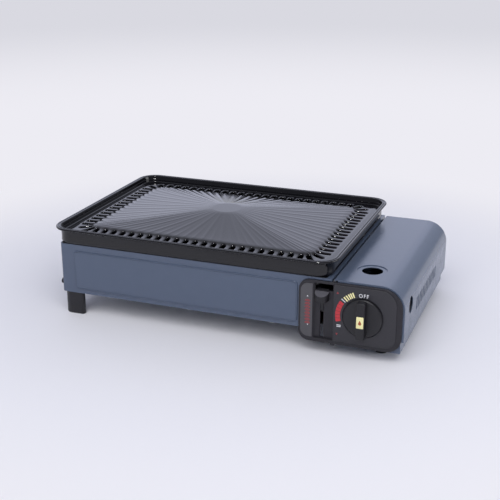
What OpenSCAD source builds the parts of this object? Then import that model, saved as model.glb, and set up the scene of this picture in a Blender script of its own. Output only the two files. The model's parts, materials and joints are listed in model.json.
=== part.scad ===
// Table-top butane gas grill: firebox with ridged grill plate, drip tray and ring burner,
// and a cartridge housing on its right with lock lever, control knob and hinged lid.
// Millimetres, +Z up. Inside the modules X = 0 is the middle of the grill plate, Y = 0 the
// front face of the firebox and Z = 0 the table. part_frame() moves the origin to the middle
// of the footprint.

/* [Sheet and clearances] */
// Thickness of the pressed steel sheet
sheet_t = 0.9; // [0.6:0.1:1.4]
// Gap between pieces that move past each other
run_gap = 0.4; // [0.3:0.05:0.6]
// Radial clearance of pins and shafts in their bores
pin_gap = 0.05; // [0.02:0.01:0.1]
// Radial clearance of screw shanks in their holes
screw_gap = 0.15; // [0.1:0.05:0.3]

/* [Grill plate] */
// Width of the plate over its lip
plate_w = 376; // [360:1:390]
// Depth of the plate over its lip
plate_d = 278; // [270:1:290]
// Corner radius of the lip
plate_corner_r = 25; // [18:1:32]
// Thickness of the lip
lip_t = 3; // [2:0.5:4]
// Height of the skirt from its lower edge to the top of the lip
skirt_h = 21.3; // [18:0.1:26]
// Wall thickness of the plate
plate_t = 2.2; // [1.5:0.1:3]
// How far the skirt stands back from the lip edge under the lip
skirt_inset_top = 5.5; // [4:0.1:6]
// How far the skirt stands back from the lip edge at its lower edge
skirt_inset_bottom = 8; // [7:0.1:9]
// Drop from the top of the lip to the flat band with the slots
band_drop = 8; // [5:0.5:11]
// Rise from the flat band to the disc in the middle
dome_rise = 14.5; // [8:0.5:18]
// Diameter of the flat disc in the middle
disc_d = 40; // [30:1:60]
// Height of the radial ridges
ridge_h = 1.2; // [0.6:0.1:2]
// Length of a drain slot
slot_l = 18; // [12:1:20]
// Width of a drain slot
slot_w = 6; // [4:0.5:8]
// Distance between neighbouring drain slots
slot_pitch = 12.5; // [11:0.5:16]
// Distance from the lip edge to the outer end of a slot
slot_edge = 19; // [18:0.5:22]

/* [Drip tray] */
// Thickness of the tray sheet
tray_t = 0.8; // [0.6:0.1:1.2]
// Depth of the tray below the firebox top
tray_depth = 25; // [18:1:27]
// Length of the burner opening in the tray
tray_open_l = 204; // [200:1:220]
// Width of the burner opening in the tray
tray_open_w = 104; // [100:1:120]
// Height of the upturned edge around the burner opening
tray_edge_h = 14; // [8:1:18]

/* [Firebox] */
// Width of the firebox
firebox_w = 357; // [350:1:359]
// Depth of the firebox
firebox_d = 262; // [258:1:266]
// Height of the firebox walls
firebox_h = 65.5; // [60:0.5:75]
// Height of the lower edge of the firebox above the table
firebox_z = 29.9; // [26:0.1:34]
// Bend radius of the upright corners
firebox_r = 5; // [3:0.5:8]
// Width of the top flange that carries the tray
flange_w = 6; // [5:0.5:7]
// Width of the ledge between the firebox and the lid
ledge_w = 5.1; // [4:0.1:8]
// How far the pressed field stands proud of the front wall
field_h = 1.6; // [0.8:0.1:2.5]

/* [Cartridge housing] */
// Gap between the ledge and the lid
lid_gap = 3; // [2.8:0.1:4]
// Width of the lid
lid_w = 84; // [83:0.1:90]
// Depth of the lid
lid_d = 259; // [256:0.1:262]
// Radius of the shoulder of the lid
lid_r = 28; // [22:0.5:32]
// Height of the lower edge of the lid above the table
lid_z = 29; // [26:0.5:32]
// Width of the inward flange at the front of the lid
lid_flange = 3; // [2:0.1:3.5]
// Diameter of the round hole in the lid top
lid_hole_d = 25; // [20:0.5:28]
// Height of the housing floor above the table
base_z = 13.4; // [12.5:0.1:14.5]
// How far the right wall of the base stands back from the lid
base_inset = 3.8; // [3:0.1:6]
// Diameter of the lid hinge pins
hinge_pin_d = 2; // [1.6:0.1:2.2]

/* [Control panel] */
// How far the panel reaches over the firebox front
panel_reach = 39.2; // [39:0.1:44]
// Thickness of the panel front
panel_t = 3; // [2.5:0.1:4]
// Height of the lower edge of the panel above the table
panel_z = 15.3; // [14.5:0.1:18]
// Gap between the panel edge and the outside of the lid
panel_rim = 2.4; // [2:0.1:2.8]
// Width of the lever channel
channel_w = 24.1; // [22:0.1:26]
// Travel of the lock lever
lever_travel = 32; // [28:0.5:34]
// Width of the lever head
lever_w = 16.5; // [14:0.5:19]
// How far the lever head stands out of the channel floor
lever_out = 9.5; // [7:0.5:12]
// Height of the control knob axis above the table
knob_z = 53.9; // [52:0.1:56]
// Diameter of the control knob
knob_d = 47; // [42:0.5:50]
// How far the knob grip stands out of the panel
knob_out = 14; // [11:0.5:17]
// Width of the knob grip
grip_w = 10; // [8:0.5:13]

/* [Gas train] */
// How far the carriage pushes the cartridge
carriage_travel = 6; // [4:0.5:7]
// Diameter of the gas cartridge that the bay takes
cartridge_d = 67; // [66:0.5:68]
// Outer diameter of the gas pipe
pipe_d = 6; // [5:0.5:8]
// Bend radius of the gas pipe
pipe_bend_r = 9; // [8:0.5:12]
// Outer diameter of the mixing tube
mix_d = 16; // [14:0.5:18]
// Diameter of the burner tube
burner_d = 13; // [11:0.5:14]
// Length of the straight burner sides
burner_l = 100; // [80:1:104]
// Distance between the middles of the straight burner sides
burner_w = 76; // [66:1:78]
// Diameter of a flame port
port_d = 2.2; // [1.6:0.1:3]
// Distance between flame ports on the straight sides
port_pitch = 9; // [7:0.5:14]
// Diameter of the ignition wire
wire_d = 2.6; // [2:0.1:3.4]

/* [Legs and feet] */
// Width and depth of a left leg, which has the plan of an angle
leg_w = 28; // [24:0.5:32]
// Thickness of both walls of a left leg
leg_t = 8.6; // [7.5:0.1:10]
// Radius of the outer corner of a left leg
leg_r = 10; // [6:0.5:12]
// Diameter of a rubber foot under the housing
foot_d = 14; // [10:0.5:16]

/* [Hidden] */
$fn = 64;
hull_fn = 32;
eps = 0.01;

// Heights of the stack, from the table up
body_top = firebox_z + firebox_h;
tray_rim_top = body_top + tray_t;
lip_top = tray_rim_top + skirt_h;
lip_w = skirt_inset_top + plate_t;
band_top = lip_top - band_drop;
disc_top = band_top + dome_rise;
pan_z = firebox_z + sheet_t;
pan_top = pan_z + sheet_t;
tray_floor = body_top - tray_depth;

// Places from left to right and from front to back
mid_y = firebox_d / 2;
body_left = -firebox_w / 2;
body_right = firebox_w / 2 + ledge_w;
lid_left = body_right + lid_gap;
lid_right = lid_left + lid_w;
lid_front = 0.3;
lid_back = lid_front + lid_d;
base_left = body_right;
base_right = lid_right - base_inset;
base_top = base_z + sheet_t;
base_back = lid_back - 3.5;
wall_y = 1.8;
wall_back = wall_y + sheet_t;
shoulder_x = lid_right - lid_r;
shoulder_z = body_top - lid_r;

// Control panel, lever and knob
panel_left = body_right - panel_reach;
panel_right = lid_right - panel_rim;
panel_top = body_top - panel_rim;
panel_r_left = 13;
panel_r_top = 24;
panel_r_bottom = 18;
channel_left = panel_left + 18.2;
channel_right = channel_left + channel_w;
channel_bottom = panel_z + 4.7;
channel_top = panel_top - 3;
channel_wall = 1.1;
channel_floor_t = 2;
channel_rim = 1.2;
tab_h = 2;
tab_w = 6;
pocket_y = 14;
lever_x = channel_left + lever_w / 2 + 1.5;
lever_top = channel_top - 10.6;
neck_w = 3.5;
neck_l = 24;
neck_bottom = lever_top - neck_l;
neck_slot_w = neck_w + 2 * run_gap;
slider_front = channel_floor_t + run_gap;
slider_t = 2.4;
slider_w = 14;
knob_x = lid_left + 35.8;
knob_back = -panel_t - run_gap;
knob_disc_t = 3;
knob_front = -panel_t - knob_out;
hub_r = 7;
shaft_r = 3;

// Lever cam and cartridge carriage
cam_t = 1.8;
cam_x = lid_left + 2;
cam_front = slider_front + slider_t;
cam_pin_r = 2;
cam_slot_r = cam_pin_r + 0.3;
cam_wall = 2;
cam_bottom = base_top + run_gap + lever_travel;
cam_top = cam_bottom + lever_travel + 2 * (cam_slot_r + cam_wall);
cam_pin_y = 26;
cam_pin_z = cam_bottom + cam_wall + cam_slot_r;
cam_back = cam_pin_y + cam_slot_r + cam_wall;
cam_lean = atan(carriage_travel / lever_travel);
arm_bottom = lever_top - 8;
arm_h = 8;
arm_depth = 4;
carriage_t = 2;
carriage_x = cam_x + cam_t + 2;
carriage_z = base_top + 0.3;
carriage_top = 30;
carriage_front = cam_pin_y - 8;
pusher_y = 250;
pusher_reach = 46;
pusher_bottom = 22;
pusher_top = 66;
guide_y = [76, 204];
guide_l = 12;
guide_h = 13;

// Gas train
seat_x = carriage_x + carriage_t + 2.2 + cartridge_d / 2;
seat_z = knob_z - 0.4;
reg_left = knob_x - 17.4;
reg_right = knob_x + 16.6;
reg_front = 14;
reg_back = 48;
reg_half_h = 16;
reg_bottom = knob_z - reg_half_h;
reg_top = knob_z + reg_half_h;
reg_boss_r = 9.5;
reg_flange_t = 2.8;
reg_flange_half = 23.5;
reg_flange_h = 20;
reg_screw_x = 20;
cap_y = 31;
cap_r = 16;
cap_l = 12;
diaphragm_t = 1.2;
cap_left = reg_right + diaphragm_t;
spring_room_r = 8;
chamber_l = 10;
passage_l = 12;
outlet_r = 1.6;
inlet_r = 2;
shaft_depth = 10;
cap_screw_r = 12;
seat_r = 12;
seat_l = 8;
seat_bore_r = 4;
oring_r = 1.4;
oring_mid_r = 6.4;
guide_plate_y = reg_back + seat_l + 1.4;
guide_plate_h = 30.4;
collar_hole_r = 18;
key_low = 10;
key_top = 22;
pipe_y = 42;
pipe_z = knob_z - 4;
pipe_x = firebox_w / 2 - 8;
jet_x = pipe_x - pipe_bend_r - 5;
jet_l = 9;
jet_tip_l = 4;
mix_z = pipe_z;
mix_mouth = jet_x - jet_l - 1;
mix_r = mix_d / 2;
mix_wall = 1;
riser_x = burner_l / 2 + burner_w / 2;
riser_r = 13;
burner_r = burner_d / 2;
burner_wall = 1;
burner_z = tray_floor + 5;
stub_z = burner_z - burner_r - 3;
stand_x = 40;
stand_t = 1.2;
stand_over = 5;
stand_arm = 10;
stand_foot = 12;
stand_web = 22;
electrode_x = 30;
electrode_y = mid_y - burner_w / 2 + burner_r + 5.5;
electrode_r = 0.9;
electrode_shelf_z = 50;
shelf_r = 6;
insulator_r = 3.2;
insulator_neck_r = 2;
insulator_top = burner_z - 1.5;

// Screws: shank radius, head radius, head height
screw_r = 1.6;
screw_head_r = 3.6;
screw_head_h = 1.4;
base_screw_l = 6;
leg_screw_l = 10;
reg_screw_l = 5;
cap_screw_l = cap_l + 6;

// Left legs
leg_top = pan_top + 18;
leg_gap = 0.3;
leg_in = sheet_t + leg_gap;
leg_end_r = 4;
leg_pad = 12;
leg_screw_z = firebox_z + 10.6;
leg_screw_y = firebox_r + screw_head_r;
leg_screw_head = 3.6;

// Lid details
hinge_x = lid_left + 1;
hinge_z = body_top - sheet_t - 2.1;
hinge_r = hinge_pin_d / 2;
knuckle_r = 1.75;
hinge_drop = 9;
hinge_web_h = 8;
hinge_plate_t = 1.2;
hinge_front_y = 36;
hinge_back_y = 240;
lid_hole_y = 45.6;
lid_hole_x = lid_left + 33.4;
lid_dish_r = lid_hole_d / 2 + 5.5;
vent_count = 13;
vent_pitch = 9.5;
vent_y = 69;
vent_z = 43;
vent_h = 17;
vent_w = 4.4;
side_hole_d = 20;
side_hole_y = 33;
side_hole_z = 64;
foot_in_left = 16;
foot_in_left_y = 84;
foot_in_right = 32;
foot_in_y = 31;
foot_places = [
    [lid_left + foot_in_left, foot_in_left_y],
    [lid_left + foot_in_left, base_back - foot_in_y],
    [lid_right - foot_in_right, foot_in_y],
    [lid_right - foot_in_right, base_back - foot_in_y]
];

// Igniter on top of the regulator
igniter_x = knob_x - 3;
igniter_w = 14;
igniter_h = 13;
igniter_back = 44;
terminal_t = 2;
terminal_x = igniter_x - igniter_w / 2 - terminal_t;
electrode_foot = 45;

// Ignition wire: hand-chosen route from the electrode along the pan to the igniter's terminal
wire_floor_z = pan_top + 4.3;
wire_turn_x = electrode_x + 7;
wire_turn_y = mid_y - burner_w / 2 - stand_over - 4;
wire_wall_x = body_right - 15.6;
wire_hole_y = 58;
wire_hole_z = pipe_z - 6.9;
wire_end_y = 38.5;
wire_end_z = reg_top + 7.5;
function on_pan(f) = [
    wire_turn_x + f * (wire_wall_x - wire_turn_x),
    wire_turn_y + f * (wire_hole_y - wire_turn_y),
    wire_floor_z
];
wire_route = [
    [electrode_x, electrode_y, electrode_foot],
    [electrode_x, electrode_y, electrode_foot - 4],
    [electrode_x + 0.5, electrode_y - 7, wire_floor_z + 1.5],
    [electrode_x + 2.5, wire_turn_y + 6, wire_floor_z],
    on_pan(0), on_pan(0.1), on_pan(0.3), on_pan(0.55), on_pan(0.8),
    [wire_wall_x - 10, wire_hole_y + 1, wire_hole_z - 2],
    [wire_wall_x, wire_hole_y, wire_hole_z],
    [body_right - 7.6, wire_hole_y, wire_hole_z],
    [lid_left + 1.4, wire_hole_y, wire_hole_z],
    [lid_left + 9.4, wire_hole_y - 3, wire_hole_z + 3],
    [lid_left + 13.4, wire_hole_y - 6, wire_hole_z + 10],
    [lid_left + 15.9, wire_hole_y - 11, wire_hole_z + 20],
    [lid_left + 17.4, wire_end_y + 3.5, wire_end_z - 5],
    [terminal_x - 4, wire_end_y, wire_end_z],
    [terminal_x, wire_end_y, wire_end_z]
];

// Middle of the footprint, where the origin goes
origin_x = (lid_right - plate_w / 2) / 2;
origin_y = (knob_front + mid_y + plate_d / 2) / 2;

// Colours
c_enamel = "#1B1A1E";
c_paint = "#596174";
c_black = "#2E2D33";
c_knob = "#2B2A31";
c_steel = "#B9BBC0";
c_zinc = "#9FA3A8";
c_brass = "#B9974D";
c_alu = "#C6C8CC";
c_rubber = "#1E1E20";
c_ceramic = "#EFECE4";

module part_frame() {
    translate([-origin_x, -origin_y, 0]) children();
}

// Flat outlines

// A rectangle from [x0, y0] to [x1, y1] with its own radius at each corner
module round_box(x0, y0, x1, y1, r_ll, r_lr, r_ur, r_ul) {
    difference() {
        translate([x0, y0]) square([x1 - x0, y1 - y0]);
        corner_cut(x0, y0, 1, 1, r_ll);
        corner_cut(x1, y0, -1, 1, r_lr);
        corner_cut(x1, y1, -1, -1, r_ur);
        corner_cut(x0, y1, 1, -1, r_ul);
    }
}

module corner_cut(x, y, sx, sy, r) {
    if (r > 0)
        translate([x + sx * r, y + sy * r])
            difference() {
                translate([sx > 0 ? -r - 1 : 0, sy > 0 ? -r - 1 : 0]) square(r + 1);
                circle(r);
            }
}

// A rectangle centred on the firebox with all corners alike
module centred_box(w, d, r) {
    translate([0, mid_y]) round_box(-w / 2, -d / 2, w / 2, d / 2, r, r, r, r);
}

module obround(l, w) {
    square([l - w, w], center = true);
    for (s = [-1, 1])
        translate([s * (l - w) / 2, 0]) circle(w / 2);
}

// Stands a flat X-Z outline upright, from y back by t
module upright(y, t) {
    translate([0, y + t, 0]) rotate([90, 0, 0]) linear_extrude(t) children();
}

// A cylinder along +Y from y, and one along +X from x
module bar_y(x, y, z, r, l) {
    translate([x, y, z]) rotate([-90, 0, 0]) cylinder(r = r, h = l);
}

module bar_x(x, y, z, r, l) {
    translate([x, y, z]) rotate([0, 90, 0]) cylinder(r = r, h = l);
}

module block(x0, y0, z0, x1, y1, z1) {
    translate([x0, y0, z0]) cube([x1 - x0, y1 - y0, z1 - z0]);
}

// A pan-head screw, head downwards at the origin, shank along +Z
module screw(l, head_h = screw_head_h) {
    translate([0, 0, -head_h])
        difference() {
            cylinder(r = screw_head_r, h = head_h);
            cube([0.9, 4, 1.2], center = true);
            cube([4, 0.9, 1.2], center = true);
        }
    cylinder(r = screw_r, h = l);
}

// A tube along a list of points, with the given radius and number of sides
function unit(v) = v / norm(v);
function direction(p, i) =
    unit(p[min(i + 1, len(p) - 1)] - p[max(i - 1, 0)]);
function side_of(d) =
    unit(cross(d, abs(d.z) < 0.9 ? [0, 0, 1] : [1, 0, 0]));
function ring_points(p, i, r, sides) =
    let (d = direction(p, i), u = side_of(d), v = cross(d, u))
    [for (k = [0 : sides - 1]) p[i] + r * (cos(360 * k / sides) * u + sin(360 * k / sides) * v)];

module swept_tube(p, r, sides) {
    last = (len(p) - 1) * sides;
    walls = [
        for (i = [0 : len(p) - 2], k = [0 : sides - 1])
            let (a = i * sides + k, b = i * sides + (k + 1) % sides)
            each [[a, b, a + sides], [b, b + sides, a + sides]]
    ];
    start = [for (k = [1 : sides - 2]) [0, k + 1, k]];
    end = [for (k = [1 : sides - 2]) [last, last + k, last + k + 1]];
    polyhedron(
        points = [for (i = [0 : len(p) - 1]) each ring_points(p, i, r, sides)],
        faces = concat(walls, start, end), convexity = 6);
}

// Grill plate

plate_hx = plate_w / 2;
plate_hy = plate_d / 2;
slot_row_x = plate_hx - slot_edge - slot_l / 2;
slot_row_y = plate_hy - slot_edge - slot_l / 2;
slot_corner_r = 22.5;
corner_slots = 2;
half_long = floor((slot_row_x - slot_corner_r) / slot_pitch);
half_short = floor((slot_row_y - slot_corner_r) / slot_pitch);
slot_end_x = half_long * slot_pitch;
slot_end_y = half_short * slot_pitch;

// Each slot is [x, y, outward angle], anticlockwise from the middle of the right side
function side_slots(n, rows) = [for (k = [-n : n]) rows[0] + k * rows[1]];
function corner_slot(sx, sy, t) = [
    sx * (slot_end_x + (slot_row_x - slot_end_x) * cos(t)),
    sy * (slot_end_y + (slot_row_y - slot_end_y) * sin(t)),
    atan2(sy * sin(t), sx * cos(t))
];
function corner_group(sx, sy, rising) = [
    for (k = [1 : corner_slots])
        let (t = 90 * k / (corner_slots + 1))
        corner_slot(sx, sy, rising ? t : 90 - t)
];
slots = concat(
    side_slots(half_short, [[slot_row_x, 0, 0], [0, slot_pitch, 0]]),
    corner_group(1, 1, true),
    side_slots(half_long, [[0, slot_row_y, 90], [-slot_pitch, 0, 0]]),
    corner_group(-1, 1, false),
    side_slots(half_short, [[-slot_row_x, 0, 180], [0, -slot_pitch, 0]]),
    corner_group(-1, -1, true),
    side_slots(half_long, [[0, -slot_row_y, 270], [slot_pitch, 0, 0]]),
    corner_group(1, -1, false)
);
slot_total = len(slots);

// The dome starts just inside the slots: a groove runs to each slot, a ridge between two slots
dome_start = slot_l / 2 + 1;
groove_ends = [
    for (s = slots)
        [s.x - dome_start * cos(s.z), s.y - dome_start * sin(s.z)]
];
dome_ring = [
    for (i = [0 : slot_total - 1])
        each [groove_ends[i], (groove_ends[i] + groove_ends[(i + 1) % slot_total]) / 2]
];
dome_sides = len(dome_ring);
band_inner = dome_start + 1.5;
band_inner_r = max(slot_row_x - slot_end_x, slot_row_y - slot_end_y) - dome_start;
groove_step = 0.3;
root_drop = 0.6;

function on_disc(p) = unit(p) * disc_d / 2;
function lifted(p, z) = [p.x, p.y + mid_y, z];

module plate_dome() {
    n = dome_sides;
    top_edge = [
        for (i = [0 : n - 1])
            lifted(dome_ring[i], band_top + groove_step + (i % 2) * (ridge_h - groove_step))
    ];
    top_disc = [for (p = dome_ring) lifted(on_disc(p), disc_top)];
    low_edge = [for (p = dome_ring) lifted(p, band_top - plate_t - root_drop)];
    low_disc = [for (p = dome_ring) lifted(on_disc(p), disc_top - plate_t)];
    points = concat(top_edge, top_disc, low_edge, low_disc,
        [[0, mid_y, disc_top], [0, mid_y, disc_top - plate_t]]);
    faces = [
        for (i = [0 : n - 1])
            let (j = (i + 1) % n)
            each [
                [i, n + j, j], [i, n + i, n + j], [n + i, 4 * n, n + j],
                [2 * n + i, 2 * n + j, 3 * n + j], [2 * n + i, 3 * n + j, 3 * n + i],
                [3 * n + i, 3 * n + j, 4 * n + 1],
                [i, j, 2 * n + i], [j, 2 * n + j, 2 * n + i]
            ]
    ];
    polyhedron(points = points, faces = faces, convexity = 8);
}

// One slab of the skirt, at height z and set back from the lip edge
module skirt_slab(z, inset) {
    r = max(plate_corner_r - inset, 2);
    translate([0, 0, z]) linear_extrude(eps)
        centred_box(plate_w - 2 * inset, plate_d - 2 * inset, r, $fn = hull_fn);
}

module skirt_solid() {
    hull() {
        skirt_slab(tray_rim_top, skirt_inset_bottom);
        skirt_slab(lip_top - lip_t, skirt_inset_top);
    }
}

module skirt_cavity() {
    hull() {
        skirt_slab(tray_rim_top - 1, skirt_inset_bottom + plate_t);
        skirt_slab(lip_top, skirt_inset_top + plate_t);
    }
}

module grill_plate() {
    color(c_enamel) difference() {
        union() {
            difference() {
                skirt_solid();
                skirt_cavity();
            }
            translate([0, 0, lip_top - lip_t]) linear_extrude(lip_t)
                difference() {
                    centred_box(plate_w, plate_d, plate_corner_r);
                    centred_box(plate_w - 2 * lip_w, plate_d - 2 * lip_w, plate_corner_r - lip_w);
                }
            translate([0, 0, band_top - plate_t]) linear_extrude(plate_t)
                difference() {
                    centred_box(plate_w - 2 * lip_w + 1, plate_d - 2 * lip_w + 1, plate_corner_r - lip_w);
                    centred_box(2 * (slot_row_x - band_inner), 2 * (slot_row_y - band_inner), band_inner_r);
                }
            plate_dome();
        }
        for (s = slots)
            translate([s.x, s.y + mid_y, band_top - plate_t - 1])
                rotate(s.z) linear_extrude(plate_t + 2) obround(slot_l, slot_w);
    }
}

// Drip tray and firebox

tray_gap = 0.8;
tray_out_w = firebox_w - 2 * flange_w - 2 * tray_gap;
tray_out_d = firebox_d - 2 * flange_w - 2 * tray_gap;
tray_r = 12;
tray_rim_w = firebox_w - 2;
tray_rim_d = firebox_d - 1.2;
tray_open_r = 16;

module ring_wall(w, d, r, t) {
    difference() {
        centred_box(w, d, r);
        centred_box(w - 2 * t, d - 2 * t, r - t);
    }
}

module drip_tray() {
    color(c_enamel) {
        translate([0, 0, body_top]) linear_extrude(tray_t)
            difference() {
                centred_box(tray_rim_w, tray_rim_d, firebox_r);
                centred_box(tray_out_w - 2 * tray_t, tray_out_d - 2 * tray_t, tray_r - tray_t);
            }
        translate([0, 0, tray_floor]) linear_extrude(body_top - tray_floor + eps)
            ring_wall(tray_out_w, tray_out_d, tray_r, tray_t);
        translate([0, 0, tray_floor]) linear_extrude(tray_t)
            difference() {
                centred_box(tray_out_w - tray_t, tray_out_d - tray_t, tray_r);
                centred_box(tray_open_l, tray_open_w, tray_open_r);
            }
        translate([0, 0, tray_floor]) linear_extrude(tray_edge_h)
            ring_wall(tray_open_l + 2 * tray_t, tray_open_w + 2 * tray_t, tray_open_r + tray_t, tray_t);
    }
}

module firebox_outline(inset) {
    r = max(firebox_r - inset, 0.5);
    round_box(body_left + inset, inset, body_right - inset, firebox_d - inset, r, 1, 1, r);
}

field_left = body_left + 20.5;
field_right = panel_left - 2.4;
field_bottom = firebox_z + 6;
field_top = body_top - 7.8;
field_r = 5;
lip_in = 8;
base_screw_places = [
    for (x = [-110, 0, 110], y = [lip_in / 2 + sheet_t, firebox_d - lip_in / 2 - sheet_t]) [x, y]
];

// The field pressed out of the front wall
module field_outline(inset) {
    r = field_r - inset;
    round_box(field_left + inset, field_bottom + inset, field_right - inset, field_top - inset, r, r, r, r);
}

module leg_screw_places() {
    for (y = [leg_screw_y, firebox_d - leg_screw_y])
        translate([body_left, y, leg_screw_z]) rotate([0, 90, 0]) children();
}

module pocket_cut() {
    block(channel_left - 1.6, -1, panel_z, body_right + 1, pocket_y, panel_top - 1.4);
}

wire_hole_r = wire_d / 2 + 1.2;
pipe_hole_r = pipe_d / 2 + 1;

// Holes for the gas pipe and the ignition wire in an upright wall at x
module wall_holes(x, t) {
    bar_x(x - 1, pipe_y, pipe_z, pipe_hole_r, t + 2);
    bar_x(x - 1, wire_hole_y, wire_hole_z, wire_hole_r, t + 2);
}

module body_shell() {
    color(c_paint) difference() {
        union() {
            translate([0, 0, firebox_z]) linear_extrude(firebox_h)
                difference() {
                    firebox_outline(0);
                    firebox_outline(sheet_t);
                }
            translate([0, 0, body_top - sheet_t]) linear_extrude(sheet_t)
                difference() {
                    firebox_outline(sheet_t / 2);
                    centred_box(firebox_w - 2 * flange_w, firebox_d - 2 * flange_w, tray_r);
                }
            translate([0, 0, firebox_z]) linear_extrude(sheet_t)
                difference() {
                    firebox_outline(sheet_t / 2);
                    firebox_outline(lip_in);
                }
            upright(-field_h, field_h + sheet_t / 2) field_outline(0);
        }
        pocket_cut();
        upright(-field_h + sheet_t, field_h + 1) field_outline(sheet_t);
        wall_holes(body_right - sheet_t, sheet_t);
        leg_screw_places() translate([0, 0, -1]) cylinder(r = screw_r + screw_gap, h = 4);
        for (p = base_screw_places)
            translate([p.x, p.y, firebox_z - 1]) cylinder(r = screw_r + screw_gap, h = 4);
        for (y = [0, firebox_d])
            mirror_y(y) leg_space(firebox_z - 1, 3);
    }
}

// Turns the front left leg into the back left one
module mirror_y(y) {
    if (y == 0) children();
    else translate([0, firebox_d, 0]) mirror([0, 1, 0]) children();
}

module leg_outline(grow) {
    x0 = body_left + leg_in;
    y0 = leg_in;
    round_box(x0 - grow, y0 - grow, x0 + leg_w + grow, y0 + leg_t + grow, leg_r, leg_end_r, leg_end_r, 0);
    round_box(x0 - grow, y0 - grow, x0 + leg_t + grow, y0 + leg_w + grow, leg_r, 0, leg_end_r, leg_end_r);
}

module leg_space(z, h) {
    translate([0, 0, z]) linear_extrude(h) leg_outline(leg_gap);
}

module left_leg() {
    difference() {
        union() {
            linear_extrude(leg_top) leg_outline(0);
            block(body_left + sheet_t, firebox_r + leg_gap, pan_top + leg_gap,
                body_left + leg_pad, leg_in + leg_w, leg_top);
        }
        translate([body_left, leg_screw_y, leg_screw_z]) rotate([0, 90, 0])
            cylinder(r = screw_r + screw_gap, h = leg_screw_l + 1);
    }
}

module left_leg_front() {
    color(c_black) left_leg();
}

module left_leg_back() {
    color(c_black) mirror_y(1) left_leg();
}

module leg_screws() {
    color(c_black) leg_screw_places() screw(leg_screw_l, leg_screw_head);
}

module base_pan() {
    color(c_zinc) difference() {
        translate([0, 0, pan_z]) linear_extrude(sheet_t) firebox_outline(sheet_t + 0.2);
        pocket_cut();
        for (y = [0, firebox_d])
            mirror_y(y) leg_space(pan_z - 1, 3);
        for (y = [0, firebox_d])
            mirror_y(y) block(body_left, 0, pan_z - 1,
                body_left + leg_pad + leg_gap, leg_in + leg_w + leg_gap, pan_top + 1);
        for (p = base_screw_places)
            translate([p.x, p.y, pan_z - 1]) cylinder(r = screw_r + screw_gap, h = 4);
    }
}

module base_screws() {
    color(c_zinc)
        for (p = base_screw_places)
            translate([p.x, p.y, firebox_z]) screw(base_screw_l);
}

module heat_shield() {
    x = body_right - sheet_t - 1.3;
    color(c_alu) difference() {
        block(x - sheet_t, pocket_y + 4, pan_top, x, firebox_d - 8, body_top - sheet_t - 1);
        wall_holes(x - sheet_t, sheet_t);
    }
}

// Burner

// A closed racetrack tube of radius r around the middle of the burner
module racetrack(r) {
    for (s = [-1, 1]) {
        translate([-burner_l / 2, mid_y + s * burner_w / 2, burner_z])
            rotate([0, 90, 0]) cylinder(r = r, h = burner_l);
        translate([s * burner_l / 2, mid_y, burner_z]) rotate(s * 90 - 180)
            rotate_extrude(angle = 180) translate([burner_w / 2, 0]) circle(r);
    }
}

module burner_ring() {
    ports = floor(burner_l / port_pitch / 2);
    color(c_steel) difference() {
        union() {
            racetrack(burner_r);
            translate([riser_x, mid_y, stub_z]) cylinder(r = mix_r, h = burner_z - stub_z);
        }
        racetrack(burner_r - burner_wall);
        translate([riser_x, mid_y, stub_z - 1]) cylinder(r = mix_r - mix_wall, h = burner_z - stub_z + 1);
        for (s = [-1, 1], k = [-ports : ports])
            translate([k * port_pitch, mid_y + s * burner_w / 2, burner_z])
                cylinder(r = port_d / 2, h = burner_r + 1);
        for (s = [-1, 1], a = [-60 : 20 : 60])
            translate([s * burner_l / 2, mid_y, burner_z]) rotate(s > 0 ? a : 180 + a)
                translate([burner_w / 2, 0, 0]) cylinder(r = port_d / 2, h = burner_r + 1);
    }
}

module burner_stand() {
    stand_top = burner_z - burner_r;
    half = burner_w / 2 + stand_over;
    gap = burner_w / 2 - stand_arm;
    color(c_zinc) difference() {
        for (x = [-stand_x, stand_x]) {
            block(x, mid_y - half, pan_top, x + stand_t, mid_y + half, stand_top);
            block(x, mid_y - half, pan_top, x + stand_foot, mid_y + half, pan_top + stand_t);
        }
        for (x = [-stand_x, stand_x])
            block(x - 1, mid_y - gap, pan_top + stand_web, x + stand_t + 1, mid_y + gap, stand_top + 1);
    }
}

module mixing_tube_solid(r, over) {
    bend_x = riser_x + riser_r;
    translate([bend_x, mid_y, mix_z]) rotate([0, 90, 0]) cylinder(r = r, h = mix_mouth - bend_x + over);
    translate([bend_x, mid_y, mix_z + riser_r]) rotate([90, 0, 0]) rotate(180)
        rotate_extrude(angle = 90) translate([riser_r, 0]) circle(r);
    translate([riser_x, mid_y, mix_z + riser_r])
        cylinder(r = r, h = max(stub_z - mix_z - riser_r, eps) + over);
}

module mixing_tube() {
    color(c_steel) difference() {
        mixing_tube_solid(mix_r, 0);
        mixing_tube_solid(mix_r - mix_wall, 1);
    }
}

module air_shutter() {
    l = 14;
    color(c_zinc) difference() {
        bar_x(mix_mouth - l - 4, mid_y, mix_z, mix_r + 1.1, l);
        bar_x(mix_mouth - l - 5, mid_y, mix_z, mix_r + pin_gap, l + 2);
        for (a = [0, 180])
            translate([mix_mouth - l / 2 - 4, mid_y, mix_z]) rotate([a, 0, 0])
                translate([0, 0, mix_r]) cube([l - 6, 8, 6], center = true);
    }
}

module gas_jet() {
    color(c_brass) difference() {
        union() {
            bar_x(jet_x - jet_l, mid_y, mix_z, 4, jet_l);
            bar_x(jet_x - jet_l - jet_tip_l, mid_y, mix_z, 2.4, jet_tip_l);
            translate([jet_x - 5, mid_y, mix_z]) rotate([0, 90, 0]) cylinder(r = 6, h = 5, $fn = 6);
        }
        bar_x(jet_x - 6, mid_y, mix_z, 1.8, 7);
        bar_x(jet_x - jet_l - jet_tip_l - 1, mid_y, mix_z, 0.5, jet_l + jet_tip_l);
    }
}

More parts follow.
